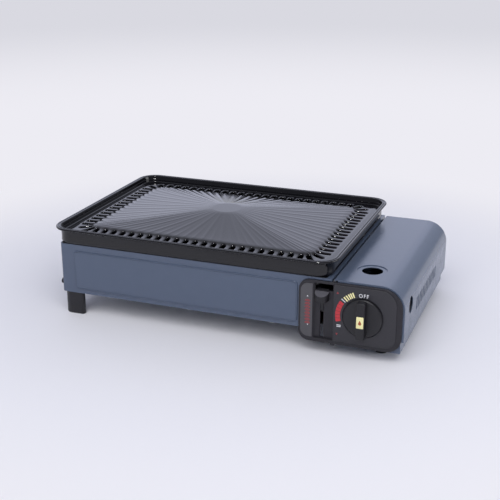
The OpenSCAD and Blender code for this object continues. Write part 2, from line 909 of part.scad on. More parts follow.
module jet_bracket() {
    x = jet_x - 5 - stand_t;
    color(c_zinc) difference() {
        union() {
            block(x, mid_y - 14, pan_top, x + stand_t, mid_y + 14, mix_z + 11);
            block(x, mid_y - 14, pan_top, x + 14, mid_y + 14, pan_top + stand_t);
        }
        bar_x(x - 1, mid_y, mix_z, 4 + pin_gap, stand_t + 2);
    }
}

nut_l = 7;
pipe_start = reg_left - 4;
module gas_pipe() {
    r = pipe_d / 2;
    b = pipe_bend_r;
    color(c_alu) {
        bar_x(pipe_x + b, pipe_y, pipe_z, r, pipe_start - pipe_x - b);
        translate([pipe_x + b, pipe_y + b, pipe_z]) rotate(180)
            rotate_extrude(angle = 90) translate([b, 0]) circle(r);
        bar_y(pipe_x, pipe_y + b, pipe_z, r, mid_y - pipe_y - 2 * b);
        translate([pipe_x - b, mid_y - b, pipe_z])
            rotate_extrude(angle = 90) translate([b, 0]) circle(r);
        bar_x(jet_x, mid_y, pipe_z, r, pipe_x - b - jet_x);
    }
}

module pipe_nut() {
    color(c_brass) difference() {
        translate([reg_left - nut_l, pipe_y, pipe_z]) rotate([0, 90, 0])
            cylinder(r = pipe_d / 2 + 3.5, h = nut_l, $fn = 6);
        bar_x(reg_left - nut_l - 1, pipe_y, pipe_z, pipe_d / 2 + pin_gap, nut_l + 2);
    }
}

// An upright cylinder on the axis of the electrode
module electrode_rod(z, r, h) {
    translate([electrode_x, electrode_y, z]) cylinder(r = r, h = h);
}

module electrode_bracket() {
    color(c_zinc) difference() {
        block(electrode_x - shelf_r, electrode_y - shelf_r, electrode_shelf_z,
            stand_x, electrode_y + shelf_r, electrode_shelf_z + stand_t);
        electrode_rod(electrode_shelf_z - 1, insulator_neck_r + pin_gap, 4);
    }
}

module electrode_insulator() {
    z = electrode_shelf_z + stand_t;
    color(c_ceramic) difference() {
        union() {
            electrode_rod(z, insulator_r, insulator_top - z);
            electrode_rod(z - 4, insulator_neck_r, 5);
        }
        electrode_rod(z - 5, electrode_r + pin_gap, insulator_top - z + 6);
    }
}

module spark_electrode() {
    rise = insulator_top + 5;
    color(c_steel) {
        electrode_rod(electrode_foot, electrode_r, rise - electrode_foot);
        translate([electrode_x, electrode_y, rise]) sphere(electrode_r);
        translate([electrode_x, electrode_y, rise]) rotate([90, 0, 0]) cylinder(r = electrode_r, h = 3);
    }
}

module ignition_wire() {
    color("#8A2A22") swept_tube(wire_route, wire_d / 2, 8);
}

module piezo_igniter() {
    left = igniter_x - igniter_w / 2;
    color(c_black) {
        block(left, 16, reg_top, left + igniter_w, igniter_back, reg_top + igniter_h);
        block(terminal_x, 30, reg_top, left + eps, igniter_back, reg_top + igniter_h - 3);
    }
}

// Cartridge housing

module lid_profile(inset) {
    round_box(lid_left + inset - (inset > 0 ? 10 : 0), lid_z - (inset > 0 ? 10 : 0), lid_right - inset,
        body_top - inset, 0, 0, lid_r - inset, 0);
}

module base_profile() {
    round_box(base_left, base_z, base_right, panel_top - 2, 0, 0, lid_r - 5, 0);
}

module housing_base() {
    color(c_paint) difference() {
        union() {
            block(base_left, wall_y, base_z, base_right, base_back, base_top);
            block(base_left, pocket_y, base_z, base_left + sheet_t, base_back, panel_top - 4);
            block(base_right - sheet_t, wall_y, base_z, base_right, base_back, lid_z + 8);
            upright(base_back - sheet_t, sheet_t) base_profile();
            intersection() {
                upright(wall_y, sheet_t) base_profile();
                block(lid_left + 1.6, 0, base_z, base_right, 10, body_top);
            }
        }
        bar_y(knob_x, 0, knob_z, hub_r + 2, 5);
        for (s = [-1, 1])
            bar_y(knob_x + s * reg_screw_x, 0, knob_z, screw_r + screw_gap, 5);
        panel_screw_places() bar_y(0, 0, 0, screw_r + screw_gap, 5);
        wall_holes(base_left, sheet_t);
        for (p = foot_places)
            translate([p.x, p.y, base_z - 1]) cylinder(r = 2.5 + screw_gap, h = 3);
        for (k = [0 : 5])
            translate([base_left + 24 + 9 * k, base_back - 3, 50]) cube([3, 6, 24]);
    }
}

module rubber_feet() {
    color(c_rubber)
        for (p = foot_places)
            translate([p.x, p.y, 0]) {
                cylinder(r = foot_d / 2, h = base_z);
                cylinder(r = 2.5, h = base_top);
                translate([0, 0, base_top]) cylinder(r = 3.6, h = 1.4);
            }
}

module hinge_bores(y0) {
    bar_y(hinge_x, y0 - 1, hinge_z, hinge_r + pin_gap, hinge_plate_t + 2);
}

lug_front_y = hinge_front_y + hinge_plate_t + run_gap;
lug_back_y = hinge_back_y - hinge_plate_t - run_gap;

module lid_lug(y) {
    upright(y, hinge_plate_t)
        round_box(hinge_x - 1, hinge_z - knuckle_r, hinge_x + 6, body_top - sheet_t / 2, 0.8, 3, 0, 0);
}

module cartridge_lid() {
    flange_start = lid_left + 4;
    color(c_paint) difference() {
        union() {
            difference() {
                upright(lid_front, lid_d) lid_profile(0);
                upright(lid_front - 1, lid_d + 2) lid_profile(sheet_t);
            }
            intersection() {
                union() {
                    lid_end_flange(lid_front, lid_flange);
                    lid_end_flange(lid_back - sheet_t, lid_flange + 5);
                }
                block(flange_start, 0, lid_z, lid_right, lid_back + 1, body_top);
            }
            translate([lid_hole_x, lid_hole_y, body_top - 2 * sheet_t])
                cylinder(r = lid_dish_r + sheet_t, h = sheet_t + eps);
            lid_lug(lug_front_y);
            lid_lug(lug_back_y);
        }
        translate([lid_hole_x, lid_hole_y, body_top - sheet_t]) cylinder(r = lid_dish_r, h = sheet_t + 1);
        translate([lid_hole_x, lid_hole_y, body_top - 5]) cylinder(r = lid_hole_d / 2, h = 9);
        hinge_bores(lug_front_y);
        hinge_bores(lug_back_y);
        for (k = [0 : vent_count - 1])
            translate([lid_right, vent_y + k * vent_pitch, vent_z + vent_h / 2]) rotate([0, 90, 0])
                translate([0, 0, -3]) linear_extrude(6) obround(vent_h, vent_w);
        bar_x(lid_right - 3, side_hole_y, side_hole_z, side_hole_d / 2, 6);
    }
}

module lid_end_flange(y, w) {
    upright(y, sheet_t)
        difference() {
            lid_profile(0);
            lid_profile(w);
        }
}

module hinge_bracket(y) {
    difference() {
        upright(y, hinge_plate_t) {
            translate([hinge_x, hinge_z]) circle(knuckle_r);
            translate([base_left + sheet_t, hinge_z - hinge_drop])
                square([hinge_x - base_left - sheet_t, hinge_web_h]);
            translate([hinge_x - knuckle_r, hinge_z - hinge_drop]) square([2 * knuckle_r, hinge_drop]);
        }
        hinge_bores(y);
    }
}

module hinge_brackets() {
    color(c_zinc) {
        hinge_bracket(hinge_front_y);
        hinge_bracket(hinge_back_y);
    }
}

module hinge_pins() {
    l = 2 * hinge_plate_t + 2 * run_gap;
    color(c_steel) {
        bar_y(hinge_x, hinge_front_y - 0.8, hinge_z, 1.7, 0.8);
        bar_y(hinge_x, hinge_front_y - 0.4, hinge_z, hinge_r, l + 0.4);
        bar_y(hinge_x, hinge_back_y + hinge_plate_t, hinge_z, 1.7, 0.8);
        bar_y(hinge_x, hinge_back_y + hinge_plate_t + 0.4 - l - 0.4, hinge_z, hinge_r, l + 0.4);
    }
}

// Control panel, lever and knob

panel_screw_xz = [
    [lid_left + 8, panel_z + 8], [lid_right - 12, panel_z + 10],
    [shoulder_x + 10, shoulder_z + 11], [lid_left + 8, panel_top - 9]
];

module panel_screw_places() {
    for (p = panel_screw_xz)
        translate([p.x, 0, p.y]) children();
}

module panel_outline() {
    round_box(panel_left, panel_z, panel_right, panel_top,
        panel_r_left, panel_r_bottom, panel_r_top, panel_r_left);
}

module control_panel() {
    color(c_black) difference() {
        union() {
            difference() {
                upright(-panel_t, panel_t) panel_outline();
                block(channel_left, -panel_t - 1, channel_bottom, channel_right, 1, channel_top);
            }
            upright(-panel_t, panel_t)
                round_box(channel_right - tab_w / 2, panel_z - tab_h, channel_right + tab_w / 2, panel_z + 1,
                    1.5, 1.5, 0, 0);
            block(channel_left - channel_wall, 0, channel_bottom - 1,
                channel_right + channel_wall, channel_floor_t, channel_top + 1);
            panel_screw_places() bar_y(0, -eps, 0, 3.4, wall_y + eps);
        }
        block(lever_x - neck_slot_w / 2, -1, neck_bottom - lever_travel - 2, lever_x + neck_slot_w / 2,
            channel_floor_t + 1, lever_top + run_gap);
        block(channel_left + channel_rim, -1, lever_top + channel_rim, channel_right - channel_rim,
            channel_floor_t + 1, channel_top - channel_rim);
        bar_y(knob_x, -panel_t - 1, knob_z, hub_r + run_gap, panel_t + 2);
        panel_screw_places() bar_y(0, -1.5, 0, screw_r + screw_gap, 5);
    }
}

module panel_screws() {
    color(c_zinc) panel_screw_places()
        translate([0, wall_back, 0]) rotate([90, 0, 0]) screw(wall_back + 1.2);
}

module lock_lever() {
    head_bottom = lever_top - 10.7;
    slope = 4;
    color(c_knob) {
        difference() {
            translate([lever_x, -run_gap, head_bottom]) linear_extrude(lever_top - head_bottom)
                intersection() {
                    lever_plan();
                    translate([-lever_w, -2 * lever_out]) square([2 * lever_w, 2 * lever_out]);
                }
            translate([lever_x - lever_w, -run_gap, lever_top]) rotate([atan(slope / lever_out), 0, 0])
                translate([0, -3 * lever_out, 0]) cube([2 * lever_w, 3 * lever_out, 12]);
        }
        block(lever_x - neck_w / 2, -run_gap - eps, neck_bottom,
            lever_x + neck_w / 2, slider_front + eps, lever_top - 0.5);
        block(lever_x - slider_w / 2, slider_front, neck_bottom - 3,
            lever_x + slider_w / 2, cam_front, lever_top + 2);
        block(lever_x - neck_w / 2 + 1, cam_front - eps, arm_bottom,
            cam_x, cam_front + arm_depth, arm_bottom + arm_h);
    }
}

// Plan of the lever head: a disc as wide as the head, set so that it stands out by lever_out
module lever_plan() {
    r = lever_w / 2;
    translate([0, -(lever_out - r)]) circle(r);
    translate([-r, -(lever_out - r)]) square([lever_w, lever_out - r]);
}

module lever_cam_plate() {
    color(c_steel) difference() {
        translate([cam_x, 0, 0]) rotate([90, 0, 90]) linear_extrude(cam_t)
            round_box(cam_front, cam_bottom, cam_back, cam_top, 3, 2, 2, 3);
        translate([cam_x - 1, cam_pin_y, cam_pin_z]) rotate([cam_lean, 0, 0])
            rotate([90, 0, 90]) linear_extrude(cam_t + 2) {
                l = norm([lever_travel, carriage_travel]);
                translate([-cam_slot_r, 0]) square([2 * cam_slot_r, l]);
                circle(cam_slot_r);
                translate([0, l]) circle(cam_slot_r);
            }
    }
}

module cartridge_carriage() {
    x1 = carriage_x + carriage_t;
    color(c_zinc) {
        block(carriage_x, carriage_front, carriage_z, x1, pusher_y + carriage_t, carriage_top);
        block(carriage_x, carriage_front, carriage_z, x1, cam_pin_y + 8, cam_pin_z + 5);
        block(carriage_x, pusher_y - 26, carriage_z, x1, pusher_y + carriage_t, pusher_top - 14);
        upright(pusher_y, carriage_t)
            round_box(carriage_x, pusher_bottom, carriage_x + pusher_reach, pusher_top, 0, 14, 14, 8);
        bar_x(cam_x - 1.2, cam_pin_y, cam_pin_z, cam_pin_r, carriage_x - cam_x + 1.2 + eps);
        bar_x(cam_x - 1.2, cam_pin_y, cam_pin_z, cam_pin_r + 1, 0.8);
    }
}

module carriage_guides() {
    g = 0.3;
    color(c_black) difference() {
        for (y = guide_y)
            block(carriage_x - g - 2, y, base_top,
                carriage_x + carriage_t + g + 1.6, y + guide_l, base_top + guide_h);
        for (y = guide_y)
            block(carriage_x - g, y - 1, base_top - 1, carriage_x + carriage_t + g, y + guide_l + 1,
                base_top + guide_h + 1);
    }
}

module control_knob() {
    r = knob_d / 2;
    color(c_knob) difference() {
        union() {
            bar_y(knob_x, knob_back - knob_disc_t, knob_z, r, knob_disc_t);
            intersection() {
                bar_y(knob_x, knob_front, knob_z, r - 0.6, knob_back - knob_front);
                block(knob_x - grip_w / 2, knob_front, knob_z - r,
                    knob_x + grip_w / 2, knob_back, knob_z + r);
            }
            bar_y(knob_x, knob_back - eps, knob_z, hub_r, -knob_back + 1.2);
        }
        bar_y(knob_x, knob_front + 4, knob_z, shaft_r + pin_gap, -knob_front);
        badge_block(0.1);
    }
}

badge_w = 8.4;
badge_h = 14.2;
badge_t = 0.8;
badge_z = knob_z - 0.5;

module badge_block(grow) {
    block(knob_x - badge_w / 2 - grow, knob_front - 1 + (grow > 0 ? 0 : 1), badge_z - badge_h / 2 - grow,
        knob_x + badge_w / 2 + grow, knob_front + badge_t, badge_z + badge_h / 2 + grow);
}

module knob_badge() {
    color("#F2DE6A") badge_block(0);
}

module valve_shaft() {
    front = knob_front + 4.2;
    color(c_steel) bar_y(knob_x, front, knob_z, shaft_r, reg_front + shaft_depth - front);
}

// Regulator

module reg_screw_places() {
    for (s = [-1, 1])
        translate([knob_x + s * reg_screw_x, wall_y, knob_z]) rotate([-90, 0, 0]) children();
}

module cap_screw_places() {
    for (a = [45 : 90 : 315])
        translate([cap_left + cap_l, cap_y + cap_screw_r * cos(a), knob_z + cap_screw_r * sin(a)])
            rotate([0, -90, 0]) children();
}

module regulator_body() {
    color(c_alu) difference() {
        union() {
            block(reg_left, reg_front, reg_bottom, reg_right, reg_back, reg_top);
            bar_y(knob_x, wall_back, knob_z, reg_boss_r, reg_front - wall_back + 1);
            upright(wall_back, reg_flange_t)
                round_box(knob_x - reg_flange_half, knob_z - reg_flange_h / 2, knob_x + reg_flange_half,
                    knob_z + reg_flange_h / 2, 4, 4, 4, 4);
        }
        bar_y(knob_x, 0, knob_z, shaft_r + pin_gap, reg_front + shaft_depth + 1);
        bar_x(reg_right - chamber_l, cap_y, knob_z, spring_room_r, chamber_l + 1);
        bar_x(reg_left - 1, pipe_y, pipe_z, outlet_r, passage_l + 1);
        bar_y(seat_x, reg_back - passage_l, seat_z, inlet_r, passage_l + 1);
        reg_screw_places() cylinder(r = screw_r + screw_gap, h = reg_screw_l + 3);
        cap_screw_places() cylinder(r = screw_r + screw_gap, h = cap_screw_l + 3);
    }
}

module regulator_screws() {
    color(c_zinc) reg_screw_places() screw(reg_screw_l);
}

module diaphragm() {
    color(c_rubber) difference() {
        bar_x(reg_right, cap_y, knob_z, cap_r, diaphragm_t);
        cap_screw_places() cylinder(r = screw_r + screw_gap, h = cap_screw_l + 3);
    }
}

module regulator_cap() {
    color(c_alu) difference() {
        bar_x(cap_left, cap_y, knob_z, cap_r, cap_l);
        bar_x(cap_left - 1, cap_y, knob_z, spring_room_r, cap_l - 1.5);
        bar_x(cap_left, cap_y, knob_z, 1, cap_l + 1);
        cap_screw_places() translate([0, 0, -1]) cylinder(r = screw_r + screw_gap, h = cap_l + 4);
    }
}

module regulating_spring() {
    turns = 4;
    steps = 8;
    wire_r = 0.7;
    mid_r = 5.4;
    x0 = cap_left + wire_r + 0.1;
    length = cap_l - 2.5 - 2 * wire_r - 0.4;
    spring_points = [
        for (i = [0 : turns * steps])
            let (a = 360 * i / steps)
            [x0 + length * i / (turns * steps), cap_y + mid_r * cos(a), knob_z + mid_r * sin(a)]
    ];
    color(c_steel) swept_tube(spring_points, wire_r, 6);
}

module cap_screws() {
    color(c_zinc) cap_screw_places() screw(cap_screw_l);
}

module cartridge_seat() {
    color(c_brass) difference() {
        bar_y(seat_x, reg_back, seat_z, seat_r, seat_l);
        bar_y(seat_x, reg_back - 1, seat_z, seat_bore_r, seat_l + 2);
        bar_y(seat_x, reg_back + seat_l - oring_r, seat_z, oring_mid_r + oring_r, oring_r + 1);
    }
}

module seat_oring() {
    color(c_rubber) translate([seat_x, reg_back + seat_l, seat_z]) rotate([90, 0, 0])
        rotate_extrude() translate([oring_mid_r, 0]) circle(oring_r);
}

module guide_plate() {
    left = carriage_x + carriage_t + 3;
    right = base_right - sheet_t - 1;
    color(c_zinc) difference() {
        union() {
            upright(guide_plate_y, stand_t)
                round_box(left, base_top, right, seat_z + guide_plate_h, 0, 0, 22, 12);
            block(left, guide_plate_y - 9, base_top, right, guide_plate_y + stand_t, base_top + stand_t);
        }
        bar_y(seat_x, guide_plate_y - 1, seat_z, collar_hole_r, stand_t + 2);
        block(seat_x - 2, guide_plate_y - 1, seat_z + key_low,
            seat_x + 2, guide_plate_y + 4, seat_z + key_top);
    }
}

part_frame() grill_plate();
part_frame() drip_tray();
part_frame() body_shell();
part_frame() base_pan();
part_frame() base_screws();
part_frame() heat_shield();
part_frame() left_leg_front();
part_frame() left_leg_back();
part_frame() leg_screws();
part_frame() burner_ring();
part_frame() burner_stand();
part_frame() mixing_tube();
part_frame() air_shutter();
part_frame() gas_jet();
part_frame() jet_bracket();
part_frame() gas_pipe();
part_frame() pipe_nut();
part_frame() electrode_bracket();
part_frame() electrode_insulator();
part_frame() spark_electrode();
part_frame() ignition_wire();
part_frame() piezo_igniter();
part_frame() housing_base();
part_frame() rubber_feet();
part_frame() cartridge_lid();
part_frame() hinge_brackets();
part_frame() hinge_pins();
part_frame() control_panel();
part_frame() panel_screws();
part_frame() lock_lever();
part_frame() lever_cam_plate();
part_frame() cartridge_carriage();
part_frame() carriage_guides();
part_frame() control_knob();
part_frame() knob_badge();
part_frame() valve_shaft();
part_frame() regulator_body();
part_frame() regulator_screws();
part_frame() diaphragm();
part_frame() regulator_cap();
part_frame() regulating_spring();
part_frame() cap_screws();
part_frame() cartridge_seat();
part_frame() seat_oring();
part_frame() guide_plate();
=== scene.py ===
# %% [markdown]
# # A table-top gas grill
# The grill is a blue-grey sheet-steel firebox with a ridged black plate on top, and a cartridge
# housing on its right with a lid, a lock lever and a knob. The exact solids come packed as a fixed
# frame of named nodes. This lesson dresses that frame: it gives each node a finish, and replaces
# the nodes that the eye lingers on by softer, more detailed meshes in the same places.

# %% Load the frame
import json
from math import atan2, cos, hypot, pi, radians, sin, sqrt, tau

import bmesh
import bpy
from mathutils import Matrix, Vector


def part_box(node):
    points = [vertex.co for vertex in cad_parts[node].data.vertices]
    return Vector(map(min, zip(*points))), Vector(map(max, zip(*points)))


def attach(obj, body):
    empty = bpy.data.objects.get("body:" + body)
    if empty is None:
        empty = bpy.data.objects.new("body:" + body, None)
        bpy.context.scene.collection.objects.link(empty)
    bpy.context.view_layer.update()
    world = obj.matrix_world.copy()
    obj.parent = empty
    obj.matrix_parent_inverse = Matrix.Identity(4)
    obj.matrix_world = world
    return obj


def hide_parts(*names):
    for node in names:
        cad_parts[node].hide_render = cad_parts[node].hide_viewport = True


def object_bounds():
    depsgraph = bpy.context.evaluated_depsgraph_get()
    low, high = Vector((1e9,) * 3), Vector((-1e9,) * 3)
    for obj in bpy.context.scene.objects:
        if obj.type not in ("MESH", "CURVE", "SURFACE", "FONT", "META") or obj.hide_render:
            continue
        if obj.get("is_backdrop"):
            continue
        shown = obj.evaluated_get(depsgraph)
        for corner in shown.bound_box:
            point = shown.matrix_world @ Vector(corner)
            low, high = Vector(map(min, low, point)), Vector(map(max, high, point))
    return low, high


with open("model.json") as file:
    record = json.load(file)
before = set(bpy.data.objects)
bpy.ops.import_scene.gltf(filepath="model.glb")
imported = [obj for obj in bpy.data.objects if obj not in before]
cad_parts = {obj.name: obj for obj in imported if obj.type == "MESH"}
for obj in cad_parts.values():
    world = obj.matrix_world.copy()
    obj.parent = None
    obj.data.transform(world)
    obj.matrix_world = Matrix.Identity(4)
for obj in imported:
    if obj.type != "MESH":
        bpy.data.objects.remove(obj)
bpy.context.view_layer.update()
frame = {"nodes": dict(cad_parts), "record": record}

# %% [markdown]
# ## Drawing in millimetres
# A maker thinks of this grill in millimetres from the middle of the plate and the front wall of
# the firebox. Every new mesh is drawn that way, and one matrix takes it into the frame at the end,
# so the objects themselves stay at the origin.

# %% The drawing's zero
MM = 0.001
MIDDLE_Y = 131.0  # from the firebox's front wall to the middle of the plate
plate_low, plate_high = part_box("grill_plate")
zero = (plate_low + plate_high) / 2
TO_FRAME = Matrix.Translation((zero.x, zero.y - MIDDLE_Y * MM, 0)) @ Matrix.Scale(MM, 4)
TO_DRAWING = TO_FRAME.inverted()


def drawn_box(node):
    """The lowest and the highest corner of a CAD node in the drawing, to a hundredth of a millimetre."""
    return [Vector([round(v, 2) for v in TO_DRAWING @ corner]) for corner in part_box(node)]


print("the drawing's zero is at", [round(v, 4) for v in TO_FRAME.translation])

# %% [markdown]
# ## Camera
# The view is that of a product photograph: from the front right, a little above the grill. The
# place and the focal length were found by fitting the straight edges of the grill to the picture.

# %% Camera
CAMERA_AT = Vector((0.4296, -1.1505, 0.5113))
AZIMUTH, ELEVATION = radians(20.79), radians(19.72)
LENS, SENSOR = 70.9, 36.0

camera = bpy.data.objects.new("camera", bpy.data.cameras.new("camera"))
bpy.context.scene.collection.objects.link(camera)
camera.data.lens = LENS
camera.data.sensor_width = SENSOR
camera.location = CAMERA_AT
camera.rotation_euler = (pi / 2 - ELEVATION, 0, AZIMUTH)
bpy.context.scene.camera = camera
print("camera", [round(v, 3) for v in camera.location], "lens", LENS)

# %% [markdown]
# ## Studio light
# A pale seamless floor, an even surround, a wide soft box at the front as the main light, and two
# weak ones. The plate is seen at a shallow angle, so its black enamel mirrors the pale backdrop
# and the soft box behind, and turns grey, while what faces the dark room behind the camera stays
# black. A wide light at the front would turn the rim grey too, so it gives its light alone, and a
# small lamp beside it is mirrored in its place: on round edges that is a glint, as on real enamel.
# Levels are plain: a colour renders about as it is written.

# %% Lights and surround
def srgb(code):
    """The linear colour, with alpha, of an sRGB hex value such as #8090A0."""
    parts = [int(code[i:i + 2], 16) / 255 for i in (1, 3, 5)]
    return [p / 12.92 if p <= 0.04045 else ((p + 0.055) / 1.055) ** 2.4 for p in parts] + [1.0]


def add(tree, kind, links=None, **settings):
    """Adds a node: settings are its own properties, links are values or sockets for its inputs."""
    node = tree.nodes.new(kind)
    for key, value in settings.items():
        setattr(node, key, value)
    for key, value in (links or {}).items():
        if isinstance(value, bpy.types.NodeSocket):
            tree.links.new(value, node.inputs[key])
        else:
            node.inputs[key].default_value = value
    return node


def soft_box(name, at, look_at, size, power, colour, lights=True, mirrored=True):
    """An area light that looks at a place. It may give only its light, or only its image in gloss."""
    light = bpy.data.objects.new(name, bpy.data.lights.new(name, "AREA"))
    light.data.shape = "RECTANGLE"
    light.data.size, light.data.size_y = size
    light.data.energy = power
    light.data.color = srgb(colour)[:3]
    light.location = at
    light.visible_camera = False
    light.visible_diffuse, light.visible_glossy = lights, mirrored
    light.rotation_euler = (Vector(look_at) - Vector(at)).to_track_quat("-Z", "Y").to_euler()
    bpy.context.scene.collection.objects.link(light)
    print(name, "at", at, "power", power)


# Each has its place, where it looks, its width and height in metres, and its power in watts.
soft_box("key_soft_box", (0.45, -1.5, 1.8), (0, 0, 0.05), (3.0, 1.8), 39, "#FFFFFF", mirrored=False)
soft_box("glint_lamp", (0.3, -1.5, 1.8), (0, 0, 0.05), (0.35, 0.35), 30, "#FFFFFF", lights=False)
soft_box("rear_soft_box", (-0.85, 1.7, 1.12), (-0.05, 0, 0.12), (3.0, 2.1), 8, "#D8DCFF")
soft_box("right_soft_box", (1.6, 0.3, 0.35), (0.2, 0, 0.06), (1.0, 0.7), 6.5, "#FBFCFF")

# %% [markdown]
# The surround is one level for diffuse light. What is mirrored in gloss is the room itself: bright
# behind and above the grill, dim to the right and behind the camera. Where it is seen, it has about
# the tone of the floor's far end, so that no horizon shows.

# %% Surround
SURROUND, ROOM_DARK, ROOM_LIGHT, SEEN = 0.5, 0.25, 1.0, 0.87
BRIGHT_SIDE = (-0.5, 0.8, 0.9)  # the room is bright to the left, behind the grill and above it
FADE_FROM, FADE_TO = 0.4, 1.1  # how much a direction points that way, from dark to bright
world = bpy.data.worlds.new("studio")
bpy.context.scene.world = world
world.use_nodes = True
tree = world.node_tree
direction = add(tree, "ShaderNodeTexCoord").outputs["Generated"]
facing = add(tree, "ShaderNodeVectorMath", {0: direction, 1: BRIGHT_SIDE}, operation="DOT_PRODUCT")
room = add(tree, "ShaderNodeMapRange", {
    "Value": facing.outputs["Value"], "From Min": FADE_FROM, "From Max": FADE_TO,
    "To Min": ROOM_DARK, "To Max": ROOM_LIGHT})
path = add(tree, "ShaderNodeLightPath").outputs
mirrored = add(tree, "ShaderNodeMapRange", {
    "Value": path["Is Glossy Ray"], "To Min": SURROUND, "To Max": room.outputs["Result"]})
seen = add(tree, "ShaderNodeMath", {
    0: path["Is Camera Ray"], 1: path["Is Transmission Ray"]}, operation="MAXIMUM")
level = add(tree, "ShaderNodeMapRange", {
    "Value": seen.outputs[0], "To Min": mirrored.outputs["Result"], "To Max": SEEN})
surround = tree.nodes["Background"]
surround.inputs["Color"].default_value = srgb("#E6EAFA")
tree.links.new(level.outputs["Result"], surround.inputs["Strength"])
bpy.context.scene.view_settings.view_transform = "Standard"
print("surround at", SURROUND, "for light, and", SEEN, "where it is seen")

# %% [markdown]
# ## Finishes
# A finish starts from what the real surface is. Most of them are one material with two things
# happening in it: patches a few millimetres across, where colour and gloss wander, and a grain
# that the light catches. One function makes such a finish from the sizes of both in millimetres. Most
# real grains are too fine to show in a picture of the whole grill, so they are drawn as coarse as
# they need to be.

# %% The plain recipe for a finish
NOISE_LOW, NOISE_HIGH = 0.3, 0.7  # nearly all of a noise lies between these
PATCH_DETAIL, GRAIN_DETAIL = 3.0, 2.0
finishes = {}


def per_mm(size):
    """The scale of a noise whose patches are this many millimetres across."""
    return 1 / (size * MM)


def finish(name, slot, dark, light, patch_mm, gloss, grain_mm, grain_depth_mm, stretch=(1, 1, 1), **sockets):
    """A finish of patches between two colours and two roughnesses, with a grain as bump."""
    material = bpy.data.materials.new(name)
    material.use_nodes = True
    tree = material.node_tree
    tree.nodes.clear()
    place = add(tree, "ShaderNodeTexCoord").outputs["Object"]
    turned = add(tree, "ShaderNodeMapping", {"Vector": place, "Scale": stretch}).outputs["Vector"]
    patches = add(tree, "ShaderNodeTexNoise", {
        "Vector": turned, "Scale": per_mm(patch_mm), "Detail": PATCH_DETAIL})
    colour = add(tree, "ShaderNodeMixRGB", {
        "Fac": patches.outputs["Fac"], "Color1": srgb(dark), "Color2": srgb(light)})
    rough = add(tree, "ShaderNodeMapRange", {
        "Value": patches.outputs["Fac"], "From Min": NOISE_LOW, "From Max": NOISE_HIGH,
        "To Min": gloss[0], "To Max": gloss[1]})
    grain = add(tree, "ShaderNodeTexNoise", {
        "Vector": turned, "Scale": per_mm(grain_mm), "Detail": GRAIN_DETAIL})
    bump = add(tree, "ShaderNodeBump", {
        "Height": grain.outputs["Fac"], "Distance": grain_depth_mm * MM, "Strength": 1.0})
    shader = add(tree, "ShaderNodeBsdfPrincipled", {
        "Base Color": colour.outputs["Color"], "Roughness": rough.outputs["Result"],
        "Normal": bump.outputs["Normal"], **sockets})
    add(tree, "ShaderNodeOutputMaterial", {"Surface": shader.outputs["BSDF"]})
    finishes[name] = (material, slot)


# %% [markdown]
# ### Enamel, paint and plastics
# Enamel is glass fused on steel: black, glossy and slightly wavy, like the peel of an orange.
# Powder coat is plastic powder melted on sheet, satin with a very fine pebble. The panel, lever,
# knob and legs are ABS moulded against a spark-eroded tool, so they are matt and finely pitted.

# %% Coated and moulded finishes
# Glass on steel: deep black, and a mirror with soft waves, so that what it mirrors wavers.
finish("black_enamel", "black_enamel", "#0B0B0E", "#121116", 12, (0.07, 0.12), 3.0, 0.004, IOR=1.5)
# Melted powder: an even satin. Its pebble of 0.3 mm is drawn at 0.9 mm, so that it shows.
finish("grey_powder_coat", "grey_paint", "#4E596D", "#525D71", 14, (0.2, 0.26), 0.9, 0.012, IOR=1.5)
# The knob's field: matt and a little lighter, so that the black knob stands out from it.
# The pits of these mouldings are under 0.1 mm and are drawn at 0.7 mm, so that they show.
finish("charcoal_abs", "black_plastic", "#27262C", "#2C2B31", 6, (0.46, 0.56), 0.7, 0.02, IOR=1.53)
# The panel's border: darker than the field, so that the field's edge can be seen.
finish("border_abs", "black_plastic", "#17151D", "#1B1921", 6, (0.42, 0.52), 0.7, 0.02, IOR=1.53)
# Lever, knob and legs: nearly black and matt, so that only their round edges catch light.
finish("black_abs", "black_plastic", "#111016", "#15141A", 6, (0.42, 0.52), 0.7, 0.02, IOR=1.53)
# The lever's ledge: a lighter grey on the black plastic, a painted highlight where light falls on the face
# that looks up and forwards.
finish("ledge_highlight_abs", "black_plastic", "#55545A", "#5B5A60", 5, (0.4, 0.5), 0.7, 0.02, IOR=1.53)
# A film: flat, even and a little glossier than the moulding that it is glued into.
finish("inlay_film", "black_plastic", "#4A494D", "#4F4E52", 8, (0.35, 0.42), 0.5, 0.006, IOR=1.5)

# %% [markdown]
# ### Metals
# Zinc plating has a crystal bloom, aluminium keeps the long marks of its rolling mill, die-cast
# aluminium is dull and a little pitted, and brass shows the fine rings of the lathe. A grain that is
# stretched along one axis reads as brushing or rolling.

# %% Metal finishes
# Zinc: a cool grey metal whose crystal patches differ in gloss.
finish("zinc_plated_steel", "zinc_steel", "#8D9196", "#B4B8BC", 5, (0.28, 0.46), 0.8, 0.01, Metallic=1.0)
# Steel that gets hot: a warmer grey, in wide soft patches.
finish("burner_steel", "burner_steel", "#7F7A74", "#9B9893", 16, (0.32, 0.48), 0.8, 0.012, Metallic=1.0)
# Rolled sheet: bright, with long marks one way, drawn far coarser than they are.
finish("mill_aluminium", "bare_aluminium", "#B2B5B9", "#CDCFD2", 3, (0.25, 0.4), 0.6, 0.012, (1, 0.08, 1),
       Metallic=1.0)
# Die-cast: a dull grey skin with pits, and no clear mirror image.
finish("die_cast_aluminium", "cast_aluminium", "#94979B", "#ABAEB2", 4, (0.45, 0.6), 0.9, 0.04, Metallic=1.0)
# Brass: yellow metal with fine marks across its axis, drawn coarser than they are.
finish("turned_brass", "brass", "#A9843F", "#C7A257", 4, (0.22, 0.36), 0.7, 0.012, (4, 1, 1), Metallic=1.0)
# Blackened steel: dark, with a dull sheen of metal.
finish("black_oxide_screw", "black_screws", "#17171A", "#222226", 3, (0.35, 0.5), 0.5, 0.01, Metallic=0.6)

